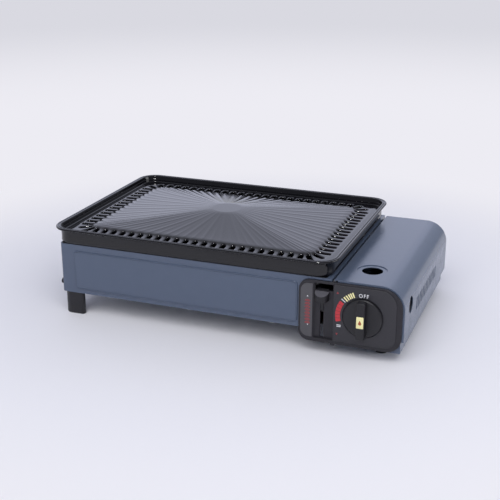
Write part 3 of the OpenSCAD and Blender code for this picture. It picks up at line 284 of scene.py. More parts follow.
# %% [markdown]
# ### Rubber, ceramic and inks
# Rubber is nearly black and scatters light, the spark plug's ceramic is glazed, silicone insulation
# is a soft red. Printing inks lie as thin opaque films, so they are slightly mottled and satin.

# %% Soft finishes and inks
# Rubber: nearly black and without a highlight.
finish("black_rubber", "black_rubber", "#141416", "#1C1C1F", 3, (0.7, 0.85), 0.6, 0.03)
# Glaze: warm white with a sharp highlight.
finish("glazed_ceramic", "white_ceramic", "#E4E0D6", "#EFECE4", 5, (0.1, 0.2), 1.5, 0.006)
# Silicone: a soft, dull red that stands out among the metals.
finish("red_silicone", "red_silicone", "#6E211B", "#86291F", 6, (0.5, 0.62), 0.6, 0.01)
# Inks: thin mottled films, so that the marks look printed and not cut out.
finish("white_ink", "black_plastic", "#D9D9DC", "#E8E8EA", 1.2, (0.4, 0.5), 0.4, 0.004)
finish("red_ink", "black_plastic", "#B32A33", "#C8333C", 1.2, (0.4, 0.5), 0.4, 0.004)
finish("dull_red_ink", "black_plastic", "#8A3438", "#9A3C40", 1.2, (0.4, 0.5), 0.4, 0.004)
finish("yellow_ink", "yellow_plastic", "#EFE6A2", "#F7F0B8", 1.2, (0.4, 0.5), 0.4, 0.004)
finish("brown_ink", "yellow_plastic", "#9A4A22", "#AE5C2C", 1.2, (0.4, 0.5), 0.4, 0.004)
print(len(finishes), "finishes:", ", ".join(finishes))

# %% [markdown]
# ## Finishes for the solids that stay
# The burner, regulator and other works inside keep their CAD shape. Each gets the finish of its
# material, so they look right when the plate is lifted or the lid is open.

# %% Dress the CAD nodes
SLOT_FINISH = {
    "black_enamel": "black_enamel", "grey_paint": "grey_powder_coat",
    "zinc_steel": "zinc_plated_steel", "burner_steel": "burner_steel", "black_screws": "black_oxide_screw",
    "bare_aluminium": "mill_aluminium", "cast_aluminium": "die_cast_aluminium", "brass": "turned_brass",
    "black_plastic": "black_abs", "yellow_plastic": "yellow_ink", "black_rubber": "black_rubber",
    "red_silicone": "red_silicone", "white_ceramic": "glazed_ceramic",
}
for part in frame["record"]["subparts"]:
    mesh = frame["nodes"][part["node"]].data
    mesh.materials.clear()
    mesh.materials.append(finishes[SLOT_FINISH[part["material_slot"]]][0])
print(len(frame["nodes"]), "CAD nodes dressed")


# %% [markdown]
# ## From a drawing to a piece
# A piece is a mesh with a finish that rides on one of the grill's bodies. Its faces are smooth
# where they meet at a gentle angle, and sharp edges stay sharp.

# %% Helpers for pieces
CLOSE = 1e-4  # millimetres: points nearer than this are one point
CAD_CLOSE, CAD_FLAT = 1e-3, radians(0.4)  # the same for a CAD mesh, and the bend that still counts as flat
CORNER = 50  # degrees: a real corner, more than the bend between two flats of a CAD arc
FORWARDS = -0.99  # a face whose normal has less than this along y looks straight forwards


def lay_out(name, bm, body, finish_name, stands_for=(), smooth_to=38, flat_faces=False):
    """Takes a drawing in millimetres into the frame as a finished piece."""
    bmesh.ops.transform(bm, matrix=TO_FRAME, verts=bm.verts)
    mesh = bpy.data.meshes.new(name)
    bm.to_mesh(mesh)
    bm.free()
    mesh.shade_smooth()
    mesh.set_sharp_from_angle(angle=radians(smooth_to))
    material, slot = finishes[finish_name]
    mesh.materials.append(material)
    piece = bpy.data.objects.new(name, mesh)
    bpy.context.scene.collection.objects.link(piece)
    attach(piece, body)
    if flat_faces:
        piece.modifiers.new("large faces stay flat", "WEIGHTED_NORMAL").keep_sharp = True
    if stands_for:
        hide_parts(*stands_for)
    print(name, "rides on", body, "with", len(mesh.polygons), "faces")
    return piece


def outward(bm):
    """Merges what lies together and turns all faces outwards."""
    bmesh.ops.remove_doubles(bm, verts=bm.verts, dist=CLOSE)
    bmesh.ops.recalc_face_normals(bm, faces=bm.faces)


def soften(bm, edges, width, steps=2):
    """Rounds edges by a width in millimetres."""
    bmesh.ops.bevel(bm, geom=edges, offset=width, offset_type="OFFSET", segments=steps, profile=0.5,
                    affect="EDGES", material=-1, clamp_overlap=True)


def sharp(bm, least=30):
    """The edges where two faces meet at more than so many degrees."""
    return [e for e in bm.edges if len(e.link_faces) == 2 and e.calc_face_angle(0) > radians(least)]


def points_of(geom):
    """The points among what an operator has made."""
    return [v for v in geom if isinstance(v, bmesh.types.BMVert)]


def copy_of(node):
    """A drawing of a CAD node, with its triangles merged back into flat faces."""
    bm = bmesh.new()
    bm.from_mesh(frame["nodes"][node].data)
    bmesh.ops.transform(bm, matrix=TO_DRAWING, verts=bm.verts)
    bmesh.ops.remove_doubles(bm, verts=bm.verts, dist=CAD_CLOSE)
    bmesh.ops.dissolve_limit(bm, angle_limit=CAD_FLAT, verts=bm.verts, edges=bm.edges)
    return bm


# %% [markdown]
# ## The grill plate
# The plate is pressed and enamelled. From outside in it has a skirt, a lip of two beads, a wall, a
# gutter with drain slots all round, and a low dome. The sheet steps up across the slots, and ridges
# run from between them to a flat disc; every second ridge ends half way. All of that is one sheet,
# and a sheet that closes on itself is a spin: a line of points is spun into rows and columns, and
# then each point is moved to its place. Nine columns belong to each slot, so the slots come out of
# the grid itself, and no cutting is needed.

# %% Where the slots are
low, high = drawn_box("grill_plate")
HALF_W, HALF_D, DISC_TOP = (high.x - low.x) / 2, (high.y - low.y) / 2, high.z
SLOT_L, SLOT_W, SLOT_PITCH, SLOT_EDGE = 18.0, 6.0, 12.5, 19.0
CORNER_SLOTS, CORNER_ROOM = 2, 22.5
row_x, row_y = HALF_W - SLOT_EDGE - SLOT_L / 2, HALF_D - SLOT_EDGE - SLOT_L / 2
half_long, half_short = int((row_x - CORNER_ROOM) // SLOT_PITCH), int((row_y - CORNER_ROOM) // SLOT_PITCH)
end_x, end_y = half_long * SLOT_PITCH, half_short * SLOT_PITCH


def side_of_slots(half, middle, step, angle):
    """The slots of one straight side, as places with the angle that they point outwards."""
    return [(middle + k * step, angle) for k in range(-half, half + 1)]


def corner_of_slots(sx, sy, rising):
    """The slots that turn one corner."""
    turns = [90 * k / (CORNER_SLOTS + 1) for k in range(1, CORNER_SLOTS + 1)]
    found = []
    for turn in turns if rising else turns[::-1]:
        c, s = cos(radians(turn)), sin(radians(turn))
        place = Vector((sx * (end_x + (row_x - end_x) * c), sy * (end_y + (row_y - end_y) * s)))
        found.append((place, atan2(sy * s, sx * c)))
    return found


along_x, along_y = Vector((SLOT_PITCH, 0)), Vector((0, SLOT_PITCH))
slots = (
    side_of_slots(half_short, Vector((row_x, 0)), along_y, 0) + corner_of_slots(1, 1, True)
    + side_of_slots(half_long, Vector((0, row_y)), -along_x, pi / 2) + corner_of_slots(-1, 1, False)
    + side_of_slots(half_short, Vector((-row_x, 0)), -along_y, pi) + corner_of_slots(-1, -1, True)
    + side_of_slots(half_long, Vector((0, -row_y)), along_x, 3 * pi / 2) + corner_of_slots(1, -1, False)
)
print(len(slots), "drain slots")

# %% [markdown]
# Inside the slots' outer ends a point is given by its slot, its column and how far out it lies from
# the slot's middle. The press rolls the slots' edges down, so three columns on each side follow the
# edge, at the roll's foot, shoulder and end. Outside the slots a point is given by its distance from
# the rim, measured square to the rim's outline.

# %% Columns of the plate
COLUMNS = 9  # per slot: its border, one between, three on the rolled edge, and the same mirrored
MIRROR = COLUMNS // 2 + 1  # the first column on the slot's other side
CORNER_R, DISC_R, BAND_TOP = 25.0, 20.0, 109.5
HALF_SLOT, ROUND_R = SLOT_L / 2, SLOT_W / 2
ROLL_R, ROLL_FOOT = 1.5, 0.44  # radius of the rolled edge, and how far its steepest part reaches
# Each column of the roll: its distance from the edge, its least half width, and its most of the room.
ROLL = [(ROLL_FOOT, 1.1, 0.3), (ROLL_R, 1.8, 0.65)]
PAST_END, MOST_ROOM = 0.5, 0.8  # half width beyond a slot's ends, and how much of the room a slot may take


def slot_place(k, out):
    """A point on the axis of slot k, so far out from its middle."""
    place, angle = slots[k % len(slots)]
    return place + out * Vector((cos(angle), sin(angle)))


def slot_width(out, offset, least):
    """Half the width of a slot's outline, grown by an offset, so far out from the slot's middle."""
    past = max(abs(out) - (HALF_SLOT - ROUND_R), 0)
    return max(sqrt(max((ROUND_R + offset) ** 2 - past ** 2, 0)), least)


def rolled_place(column, out):
    """A point of the slotted band, and its share of the way from the slot's axis to the border."""
    k, j = divmod(column, COLUMNS)
    side, step = (-1, MIRROR - 1 - j) if j < MIRROR else (1, j - MIRROR)
    middle = slot_place(k, out)
    border = (middle + slot_place(k + side, out)) / 2
    if step == MIRROR - 1:
        return border, 1.0
    half = (border - middle).length
    edge = min(slot_width(out, 0, 0 if abs(out) <= HALF_SLOT else PAST_END), MOST_ROOM * half)
    shares = [0.0]
    for offset, least, most in ROLL:
        shares.append(min((slot_width(out, offset, least) - edge) / (half - edge), most))
    shares.append((shares[-1] + 1) / 2)
    angle = slots[k][1]
    start = middle + side * edge * Vector((-sin(angle), cos(angle)))
    return start.lerp(border, shares[step]), (edge + shares[step] * (half - edge)) / half


def roll_drop(column, flat):
    """How far the sheet is rolled down at a point near its slot's edge."""
    place, angle = slots[column // COLUMNS]
    along = abs((flat - place).dot(Vector((cos(angle), sin(angle)))))
    across = (flat - place).dot(Vector((-sin(angle), cos(angle))))
    from_edge = hypot(max(along - (HALF_SLOT - ROUND_R), 0), across) - ROUND_R
    inside = min(max(ROLL_R - from_edge, 0), ROLL_R)
    return ROLL_R - sqrt(ROLL_R ** 2 - inside ** 2)


def even_place(column, out):
    """A point of the band with its slot's columns spread evenly from border to border."""
    k, j = divmod(column, COLUMNS)
    near, far = [(slot_place(k, out) + slot_place(k + side, out)) / 2 for side in (-1, 1)]
    return near.lerp(far, j / COLUMNS)


def rim_columns():
    """For each column, the point on the rim's outline and the direction square to it."""
    rim = {}
    total = COLUMNS * len(slots)
    straight = [c for c in range(total) if abs(sin(2 * slots[c // COLUMNS][1])) < 1e-6]
    for c in straight:
        angle = slots[c // COLUMNS][1]
        normal = Vector((round(cos(angle)), round(sin(angle))))
        place = even_place(c, HALF_SLOT)
        reach = HALF_W if normal.x else HALF_D
        rim[c] = (place - place.dot(normal) * normal + reach * normal, normal)
    starts = [c for c in straight if (c + 1) % total not in rim]
    for c in starts:
        run = COLUMNS * CORNER_SLOTS
        first, normal = rim[c]
        last, next_normal = rim[(c + run + 1) % total]
        corner = normal + next_normal
        centre = Vector((corner.x * (HALF_W - CORNER_R), corner.y * (HALF_D - CORNER_R)))
        before = (centre + CORNER_R * normal - first).length
        after = (centre + CORNER_R * next_normal - last).length
        for k in range(1, run + 1):
            along = (before + CORNER_R * pi / 2 + after) * k / (run + 1)
            turn = min(max((along - before) / CORNER_R, 0), pi / 2)
            square = cos(turn) * normal + sin(turn) * next_normal
            spare = min(along - before, 0) * Vector((-normal.y, normal.x))
            spare += max(along - before - CORNER_R * pi / 2, 0) * Vector((-next_normal.y, next_normal.x))
            rim[(c + k) % total] = (centre + CORNER_R * square + spare, square)
    return rim


rim = rim_columns()
print(len(rim), "columns around the plate")

# %% [markdown]
# The rows run from the lower edge of the skirt, over the lip and down into the gutter, across the
# slots, and up the dome. A row outside the slots is a distance from the rim and a height; a row of
# the band is a distance from the slots' middles; a row of the dome is a share of the way to the disc.

# %% Rows of the plate
def arc(across, up, radius, start, end, steps):
    """Points of an arc in a section. Its angles are in degrees, from the first axis to the second."""
    angles = [radians(start + (end - start) * k / steps) for k in range(steps + 1)]
    return [(across + radius * cos(a), up + radius * sin(a)) for a in angles]


GUTTER_DROP, FOOT_R = 1.4, 1.5  # the gutter's fall from the slots to the wall, and the radius there
# A row is a distance in from the rim and a height. An arc has a centre, a radius, two angles and steps.
EDGE_ROWS = [
    *arc(9.4, 99.3, 3.2, 270, 180, 4),  # hem, turned in under the skirt
    (6.5, 102.0),
    *arc(4.0, 111.1, 2.2, 0, 90, 3),  # from the skirt out under the lip
    *arc(1.6, 115.8, 1.6, 260, 25, 8),  # outer bead of the lip
    (3.25, 116.35),
    *arc(4.7, 115.9, 1.4, 155, 5, 6),  # inner bead
    *arc(8.5, BAND_TOP - GUTTER_DROP + FOOT_R, FOOT_R, 180, 270, 4),  # foot of the wall, in the gutter
    (14.5, BAND_TOP),
]
# Rows across a slot's round end, and between the two ends.
SLOT_END = [out for out, _ in arc(HALF_SLOT - ROUND_R, 0, ROUND_R, 0, 90, 4)]
SLOT_ROWS = SLOT_END + [0.0] + [-out for out in reversed(SLOT_END)]
ROLL_ROWS = [HALF_SLOT + ROLL_R, HALF_SLOT + ROLL_FOOT]
BAND_FROM, BAND_TO = 10.9, -11.5  # just beyond the roll at both ends
BAND_ROWS = [BAND_FROM] + ROLL_ROWS + SLOT_ROWS + [-out for out in reversed(ROLL_ROWS)] + [BAND_TO]
DOME_ROWS = [0.06, 0.2, 0.35, 0.5, 0.65, 0.8, 0.92, 1.0]
ROW_COUNT = len(EDGE_ROWS) + len(BAND_ROWS) + len(DOME_ROWS)
RIDGE_H, SHORT_RIDGE = 0.3, 0.5  # height at the slots, and how far up the dome the short ones go
RIDGE_FROM, RIDGE_RUN = -7.0, 3.5  # where in the band they begin, and the length over which they rise
RIDGE_HALF = 0.5  # half the width of a ridge at its foot, as a share of the pitch
BORDER_RISE, CLIMB_FROM = 2.6, 3.0  # the step up to the dome, and where across the slots it begins
DOME_BEND = 1.15  # 1 would be a straight slope; above that the dome is a little hollow
print(ROW_COUNT, "rows from the hem to the disc")


# %% The plate's height
def smooth(share):
    """Goes from 0 to 1 with a soft start and a soft end."""
    share = min(max(share, 0), 1)
    return share * share * (3 - 2 * share)


def ridge(to_border):
    """Height of a ridge: all of it on the border of two slots, and nothing from half way to the axis."""
    return RIDGE_H * smooth(2 * to_border - 1)


def dome_ridges(column, share):
    """Height of the ridges in a column, so far up the dome. Every second is short; the others widen."""
    k = column / COLUMNS
    from_short, from_long = abs(k - 2 * round(k / 2)), abs(k - 1 - 2 * round((k - 1) / 2))
    short = ridge(1 - from_short / RIDGE_HALF) * max(1 - share / SHORT_RIDGE, 0)
    return short + ridge(1 - from_long / (RIDGE_HALF + share)) * sqrt(1 - share)


def plate_place(row, column):
    """Where the point in a row and a column of the plate lies, in the drawing."""
    if row < len(EDGE_ROWS):
        inset, height = EDGE_ROWS[row]
        flat = rim[column][0] - inset * rim[column][1]
    elif row < len(EDGE_ROWS) + len(BAND_ROWS):
        out = BAND_ROWS[row - len(EDGE_ROWS)]
        flat, to_border = rolled_place(column, out)
        climb = max((CLIMB_FROM - out) / (CLIMB_FROM - BAND_TO), 0) ** 3
        height = BAND_TOP + BORDER_RISE * climb - roll_drop(column, flat)
        height += ridge(to_border) * smooth((RIDGE_FROM - out) / RIDGE_RUN)
    else:
        share = DOME_ROWS[row - len(EDGE_ROWS) - len(BAND_ROWS)]
        foot = even_place(column, BAND_TO)
        flat = foot.lerp(foot.normalized() * DISC_R, share)
        border = BAND_TOP + BORDER_RISE
        height = border + (DISC_TOP - border) * share ** DOME_BEND + dome_ridges(column, share)
    return Vector((flat.x, flat.y + MIDDLE_Y, height))


# %% Spin the sheet and move its points
HUB = 10  # radius of the innermost row while the sheet is still a flat spun ring
columns = COLUMNS * len(slots)
bm = bmesh.new()
line = [bm.verts.new((HUB + row, 0, 0)) for row in range(ROW_COUNT)]
edges = [bm.edges.new(pair) for pair in zip(line, line[1:])]
bmesh.ops.spin(bm, geom=line + edges, cent=(0, 0, 0), axis=(0, 0, 1), angle=tau, steps=columns,
               use_merge=True, use_duplicate=False)
bmesh.ops.remove_doubles(bm, verts=bm.verts, dist=CLOSE)

address = {}
for v in bm.verts:
    row = round(hypot(v.co.x, v.co.y)) - HUB
    address[v] = (row, round(atan2(v.co.y, v.co.x) / tau * columns) % columns)
first_row = len(EDGE_ROWS) + BAND_ROWS.index(SLOT_ROWS[0])
last_row = first_row + len(SLOT_ROWS) - 1
holes = []
for face in bm.faces:
    rows = [address[v][0] for v in face.verts]
    across = {address[v][1] % COLUMNS for v in face.verts}
    if min(rows) >= first_row and max(rows) <= last_row and across == {MIRROR - 1, MIRROR}:
        holes.append(face)
disc_edge = [e for e in bm.edges if all(address[v][0] == ROW_COUNT - 1 for v in e.verts)]
for v, (row, column) in address.items():
    v.co = plate_place(row, column)
bmesh.ops.delete(bm, geom=holes, context="FACES")
print(len(bm.faces), "faces in the plate's sheet")

# %% [markdown]
# The disc in the middle is filled in, and the slots' rolled edges are drawn down a little further.
# The sheet then gets its thickness from a Solidify modifier.

# %% Disc, drawn edges and thickness
DRAWN, SHEET = 0.9, 0.8  # how far the slots' edges are drawn down, and the thickness of the steel
DISC_MARGIN = 1.5  # keeps the disc's smooth edge narrow, so that the disc looks flat
SLOT_DEPTH = 3.0  # no slot's edge lies deeper than this; the hem does
disc = bmesh.ops.holes_fill(bm, edges=disc_edge, sides=0)["faces"]
bmesh.ops.inset_region(bm, faces=disc, thickness=DISC_MARGIN, depth=0)
outward(bm)
slot_rims = [e for e in bm.edges if e.is_boundary and e.verts[0].co.z > BAND_TOP - SLOT_DEPTH]
drawn = bmesh.ops.extrude_edge_only(bm, edges=slot_rims)["geom"]
bmesh.ops.translate(bm, vec=(0, 0, -DRAWN), verts=points_of(drawn))
plate = lay_out("plate_sheet", bm, "plate", "black_enamel", ["grill_plate"], smooth_to=60)
thick = plate.modifiers.new("sheet thickness", "SOLIDIFY")
thick.thickness = SHEET * MM
thick.offset = -1

# %% [markdown]
# ## Firebox and lid
# Both are folded from painted sheet. The CAD copies already have the right folds, so their sharp
# edges only need the small radius that a press leaves. The field that is pressed out of the front
# wall gets a wider, softer step.

# %% Firebox
FIELD_LEFT, FIELD_RIGHT, FIELD_LOW, FIELD_HIGH = -165, 143, 30, 94  # the pressed field lies inside these
WALL_FACE, FIELD_FACE = 0.05, -0.5  # just behind the front wall's face, and between it and the field's
FIELD_R, FOLD_R = 0.75, 0.25  # radii that the press leaves at the field and at folds
FIELD_LINE = ((0.6, 0), (0.4, -0.8), (0.4, 0.8))  # width and depth of each step of the line around it
bm = copy_of("body_shell")


def on_field(edge):
    """Whether an edge lies on the front of the pressed field or at its foot."""
    return all(v.co.y < WALL_FACE and FIELD_LEFT < v.co.x < FIELD_RIGHT and FIELD_LOW < v.co.z < FIELD_HIGH
               for v in edge.verts)


soften(bm, [e for e in sharp(bm) if on_field(e)], FIELD_R, 3)
soften(bm, [e for e in sharp(bm, CORNER) if not any(on_field(x) for x in e.verts[0].link_edges)], FOLD_R)
bm.normal_update()
fronts = [f for f in bm.faces if f.normal.y < FORWARDS and f.calc_center_median().y < FIELD_FACE]
field = max(fronts, key=lambda face: face.calc_area())
for width, depth in FIELD_LINE:
    bmesh.ops.inset_region(bm, faces=[field], thickness=width, depth=depth)
print("the pressed field is", round(field.calc_area() / 100), "square centimetres")
lay_out("firebox_sheet", bm, "frame", "grey_powder_coat", ["body_shell"], flat_faces=True)

# %% Lid
bm = copy_of("cartridge_lid")
soften(bm, sharp(bm, CORNER), FOLD_R)
lay_out("lid_sheet", bm, "lid", "grey_powder_coat", ["cartridge_lid"], flat_faces=True)

# %% [markdown]
# ## Ignition wire
# The lead from the igniter to the spark plug is soft silicone over a stranded core. Its solid is a
# tube of eight sides along the right route, so smooth shading is all that it needs to look round.

# %% Ignition wire
lay_out("wire_insulation", copy_of("ignition_wire"), "frame", "red_silicone", ["ignition_wire"],
        smooth_to=60)

# %% [markdown]
# ## Legs and control panel
# These are mouldings: a moulding has no sharp edge anywhere, so their edges are rounded more.

# %% Legs and panel
LEG_R, PANEL_R = 0.6, 1.6  # radii of the mouldings' edges
for side in ("front", "back"):
    bm = copy_of("left_leg_" + side)
    soften(bm, sharp(bm, CORNER), LEG_R, 3)
    lay_out("leg_moulding_" + side, bm, "frame", "black_abs", ["left_leg_" + side])

PANEL_FRONT = drawn_box("control_panel")[0].y
HOLES_LEFT, HOLES_RIGHT, HOLES_LOW, HOLES_HIGH = 162, 248, 19.5, 90.5  # around channel and knob hole


def at_holes(edge):
    """Whether an edge belongs to the lever's channel or the knob's hole, which stay crisp."""
    return all(HOLES_LEFT < v.co.x < HOLES_RIGHT and HOLES_LOW < v.co.z < HOLES_HIGH for v in edge.verts)


bm = copy_of("control_panel")
front_rim = [e for e in sharp(bm, CORNER) if all(v.co.y < PANEL_FRONT + CAD_CLOSE for v in e.verts)]
soften(bm, [e for e in front_rim if not at_holes(e)], PANEL_R, 4)
lay_out("panel_moulding", bm, "frame", "border_abs", ["control_panel"], flat_faces=True)

# %% [markdown]
# ## The panel's inlay and knob field
# Left of the lever a film strip is glued into the panel, and right of it the knob turns in a raised
# field, with a narrow gap around it. Both are flat outlines that are given thickness and a bevel.
# The gap is a round loop, bridged to the field's outline.

# %% Flat outlines on the panel
SUNK = 0.02  # a piece sits this far in the one under it, so that no gap shows


def outline(bm, x0, z0, x1, z1, radii):
    """A flat face in the panel's plane with its own radius at each corner, from the lower left on."""
    corners = [(x0, z0), (x1, z0), (x1, z1), (x0, z1)]
    verts = [bm.verts.new((x, 0, z)) for x, z in corners]
    bm.faces.new(verts)
    for v, r in zip(verts, radii):
        bmesh.ops.bevel(bm, geom=[v], offset=r, offset_type="OFFSET", segments=8, profile=0.5,
                        affect="VERTICES", material=-1)


def raise_flat(bm, y, thickness):
    """Gives flat faces a thickness towards the viewer, standing on the plane at y."""
    bmesh.ops.translate(bm, vec=(0, y, 0), verts=bm.verts)
    made = bmesh.ops.extrude_face_region(bm, geom=bm.faces[:])
    bmesh.ops.translate(bm, vec=(0, -thickness, 0), verts=points_of(made["geom"]))
    outward(bm)


def front_edges(bm, y):
    """The sharp edges that lie in front of the plane at y."""
    return [e for e in sharp(bm) if all(v.co.y < y for v in e.verts)]


# %% Inlay strip
INLAY, INLAY_RADII = (146.8, 20.8, 161.3, 88.5), (9.5, 0.8, 0.8, 9.5)
INLAY_T, INLAY_EDGE = 0.3, 0.15
bm = bmesh.new()
outline(bm, *INLAY, INLAY_RADII)
raise_flat(bm, PANEL_FRONT + SUNK, INLAY_T)
soften(bm, front_edges(bm, PANEL_FRONT), INLAY_EDGE)
lay_out("inlay_strip", bm, "frame", "inlay_film")

# %% Knob field
low, high = drawn_box("control_knob")
KNOB_X, KNOB_Z, KNOB_R = (low.x + high.x) / 2, (low.z + high.z) / 2, (high.x - low.x) / 2
KNOB_FIELD, KNOB_FIELD_RADII = (187.2, 19.9, 261.8, 90.8), (1.2, 13, 18, 1.2)
KNOB_GAP, FIELD_RAISE, FIELD_EDGE = 0.8, 0.9, 0.5
ROUND_STEPS = 96  # flats around the knob, too small to be seen
UPRIGHT = Matrix.Rotation(pi / 2, 4, "X")  # stands a flat circle up in the panel's plane
bm = bmesh.new()
outline(bm, *KNOB_FIELD, KNOB_FIELD_RADII)
bmesh.ops.delete(bm, geom=bm.faces[:], context="FACES_ONLY")
bmesh.ops.create_circle(bm, radius=KNOB_R + KNOB_GAP, segments=ROUND_STEPS,
                        matrix=Matrix.Translation((KNOB_X, 0, KNOB_Z)) @ UPRIGHT)
bmesh.ops.bridge_loops(bm, edges=bm.edges[:])
raise_flat(bm, PANEL_FRONT + SUNK, FIELD_RAISE)
soften(bm, front_edges(bm, PANEL_FRONT), FIELD_EDGE, 3)
lay_out("knob_field", bm, "frame", "charcoal_abs")

# %% [markdown]
# ## Lever and knob
# The lever's head is a copy of the solid with rounded edges. The knob is a spun disc with a grip bar
# across it: the bar is a disc cut off straight on both sides, so that its ends follow the rim. The
# lighter ledge is a thin copy of the one face of the lever that looks both up and forwards: a painted
# highlight for the light that falls on it.

# %% Lever
LEVER_BEND, LEVER_R = 35, 0.5  # a bend in degrees that takes in the ledge's slope, and the radius
LEDGE_UP, LEDGE_FORWARDS = 0.5, -0.2  # bounds for the ledge's normal along z and y
LEDGE_MARGIN, LEDGE_T, LEDGE_SUNK = 0.7, 0.15, 0.05
bm = copy_of("lock_lever")
soften(bm, sharp(bm, LEVER_BEND), LEVER_R)
lay_out("lever_moulding", bm, "lever", "black_abs", ["lock_lever"])

# The ledge is a painted highlight: a thin, lighter copy of the face that looks up and forwards.
bm = copy_of("lock_lever")
bm.normal_update()
rest = [f for f in bm.faces if not (f.normal.z > LEDGE_UP and f.normal.y < LEDGE_FORWARDS)]
bmesh.ops.delete(bm, geom=rest, context="FACES")
margin = bmesh.ops.inset_region(bm, faces=bm.faces[:], thickness=LEDGE_MARGIN, depth=0)["faces"]
bmesh.ops.delete(bm, geom=margin, context="FACES")
made = bmesh.ops.extrude_face_region(bm, geom=bm.faces[:])["geom"]
bmesh.ops.translate(bm, vec=(0, 0, LEDGE_T), verts=points_of(made))
bmesh.ops.translate(bm, vec=(0, 0, -LEDGE_SUNK), verts=bm.verts)
outward(bm)
lay_out("lever_ledge_highlight", bm, "lever", "ledge_highlight_abs")

# %% Knob
DISC_FRONT, DISC_BACK, EDGE_R = -6.4, -3.4, 2.0
SHAFT_R, SHAFT_BACK = 7.0, 1.2
DISC_PROFILE = [
    (0, DISC_FRONT),
    *arc(KNOB_R - EDGE_R, DISC_FRONT + EDGE_R, EDGE_R, 270, 360, 5),
    (KNOB_R, DISC_BACK),
    (SHAFT_R, DISC_BACK),
    (SHAFT_R, SHAFT_BACK),
    (0, SHAFT_BACK),
]
bm = bmesh.new()
line = [bm.verts.new((r, y, 0)) for r, y in DISC_PROFILE]
edges = [bm.edges.new(pair) for pair in zip(line, line[1:])]
bmesh.ops.spin(bm, geom=line + edges, cent=(0, 0, 0), axis=(0, 1, 0), angle=tau, steps=ROUND_STEPS,
               use_merge=True, use_duplicate=False)
outward(bm)
bmesh.ops.translate(bm, vec=(KNOB_X, 0, KNOB_Z), verts=bm.verts)
lay_out("knob_disc", bm, "knob", "black_abs", ["control_knob"])

# %% Grip
GRIP_FRONT, GRIP_BACK, GRIP_W = -16.6, -6.2, 10.0
GRIP_INSET, GRIP_R = 0.8, 1.3
bm = bmesh.new()
bmesh.ops.create_circle(bm, cap_ends=True, radius=KNOB_R - GRIP_INSET, segments=ROUND_STEPS, matrix=UPRIGHT)
for side in (-1, 1):
    bmesh.ops.bisect_plane(bm, geom=bm.verts[:] + bm.edges[:] + bm.faces[:],
                           plane_co=(side * GRIP_W / 2, 0, 0), plane_no=(side, 0, 0), clear_outer=True)
raise_flat(bm, GRIP_BACK, GRIP_BACK - GRIP_FRONT)
soften(bm, [e for e in sharp(bm) if any(v.co.y < GRIP_FRONT + SUNK for v in e.verts)], GRIP_R, 4)
bmesh.ops.translate(bm, vec=(KNOB_X, 0, KNOB_Z), verts=bm.verts)
lay_out("knob_grip", bm, "knob", "black_abs")

# %% [markdown]
# ## Badge and marks
# A small yellow badge on the grip carries a plain drop as its pointer. Around the knob a scale of bars
# shows the flame from low to high, and OFF stands at the top. The marks are films of ink a tenth of a
# millimetre thick.

# %% Badge with its pointer
BADGE_R, BADGE_T, BADGE_SUNK, BADGE_EDGE = 0.9, 0.35, 0.05, 0.12
INK_SUNK = 0.01
BADGE_FRONT = GRIP_FRONT + BADGE_SUNK - BADGE_T + INK_SUNK  # where its ink begins
low, high = drawn_box("knob_badge")
bm = bmesh.new()
outline(bm, low.x, low.z, high.x, high.z, (BADGE_R,) * 4)
raise_flat(bm, GRIP_FRONT + BADGE_SUNK, BADGE_T)
soften(bm, front_edges(bm, GRIP_FRONT), BADGE_EDGE)
lay_out("badge_plate", bm, "knob", "yellow_ink", ["knob_badge"])

DROP_R, DROP_STRETCH, DROP_TAPER, DROP_H = 1.9, 2.2, 0.8, 4.2  # a circle whose upper half is drawn out
DROP_DOWN, DROP_T = 1.0, 0.06
bm = bmesh.new()
bmesh.ops.create_circle(bm, cap_ends=True, radius=DROP_R, segments=24, matrix=UPRIGHT)
for v in bm.verts:
    if v.co.z > 0:
        v.co.z *= DROP_STRETCH
        v.co.x *= 1 - DROP_TAPER * v.co.z / DROP_H
bmesh.ops.translate(bm, vec=(KNOB_X, 0, (low.z + high.z) / 2 - DROP_DOWN), verts=bm.verts)
raise_flat(bm, BADGE_FRONT, DROP_T)
lay_out("badge_pointer", bm, "knob", "brown_ink")

# %% Scale around the knob
INK = 0.1
FIELD_FRONT = PANEL_FRONT + SUNK - FIELD_RAISE + INK_SUNK  # where the field's ink begins
INLAY_FRONT = PANEL_FRONT + SUNK - INLAY_T + INK_SUNK  # and the inlay's


def arc_bars(name, finish_name, y, bars):
    """Bent bars: each has a centre, an inner and outer radius, and a start and end angle in degrees."""
    bm = bmesh.new()
    for x, z, r0, r1, a0, a1 in bars:
        spoke = [bm.verts.new((x + r * cos(radians(a0)), 0, z + r * sin(radians(a0)))) for r in (r0, r1)]
        bmesh.ops.spin(bm, geom=spoke + [bm.edges.new(spoke)], cent=(x, 0, z), axis=(0, -1, 0),
                       angle=radians(a1 - a0), steps=6, use_duplicate=False)
    raise_flat(bm, y, INK)
    lay_out(name, bm, "frame", finish_name)


# Angles are in degrees from the right, radii in millimetres from the knob's axis.
RED_COUNT, RED_FROM, RED_STEP = 6, 195.5, 8.25
RED_START, RED_END = -7.8, -0.4  # both ends of a bar, from where its step begins
RED_RADII, WHITE_RADII, YELLOW_RADII = (27.0, 32.8), (27.0, 33.0), (26.3, 32.7)
WHITE_ENDS = (140.1, 141.9)
YELLOW_AT, YELLOW_HALF = (134.7, 128.8, 123.1, 118.3, 113.2), 1.6
red_at = [RED_FROM - RED_STEP * k for k in range(RED_COUNT)]
arc_bars("red_bars", "red_ink", FIELD_FRONT, [
    (KNOB_X, KNOB_Z, *RED_RADII, a + RED_START, a + RED_END) for a in red_at])
arc_bars("white_bar", "white_ink", FIELD_FRONT, [(KNOB_X, KNOB_Z, *WHITE_RADII, *WHITE_ENDS)])
arc_bars("yellow_bars", "yellow_ink", FIELD_FRONT, [
    (KNOB_X, KNOB_Z, *YELLOW_RADII, a - YELLOW_HALF, a + YELLOW_HALF) for a in YELLOW_AT])

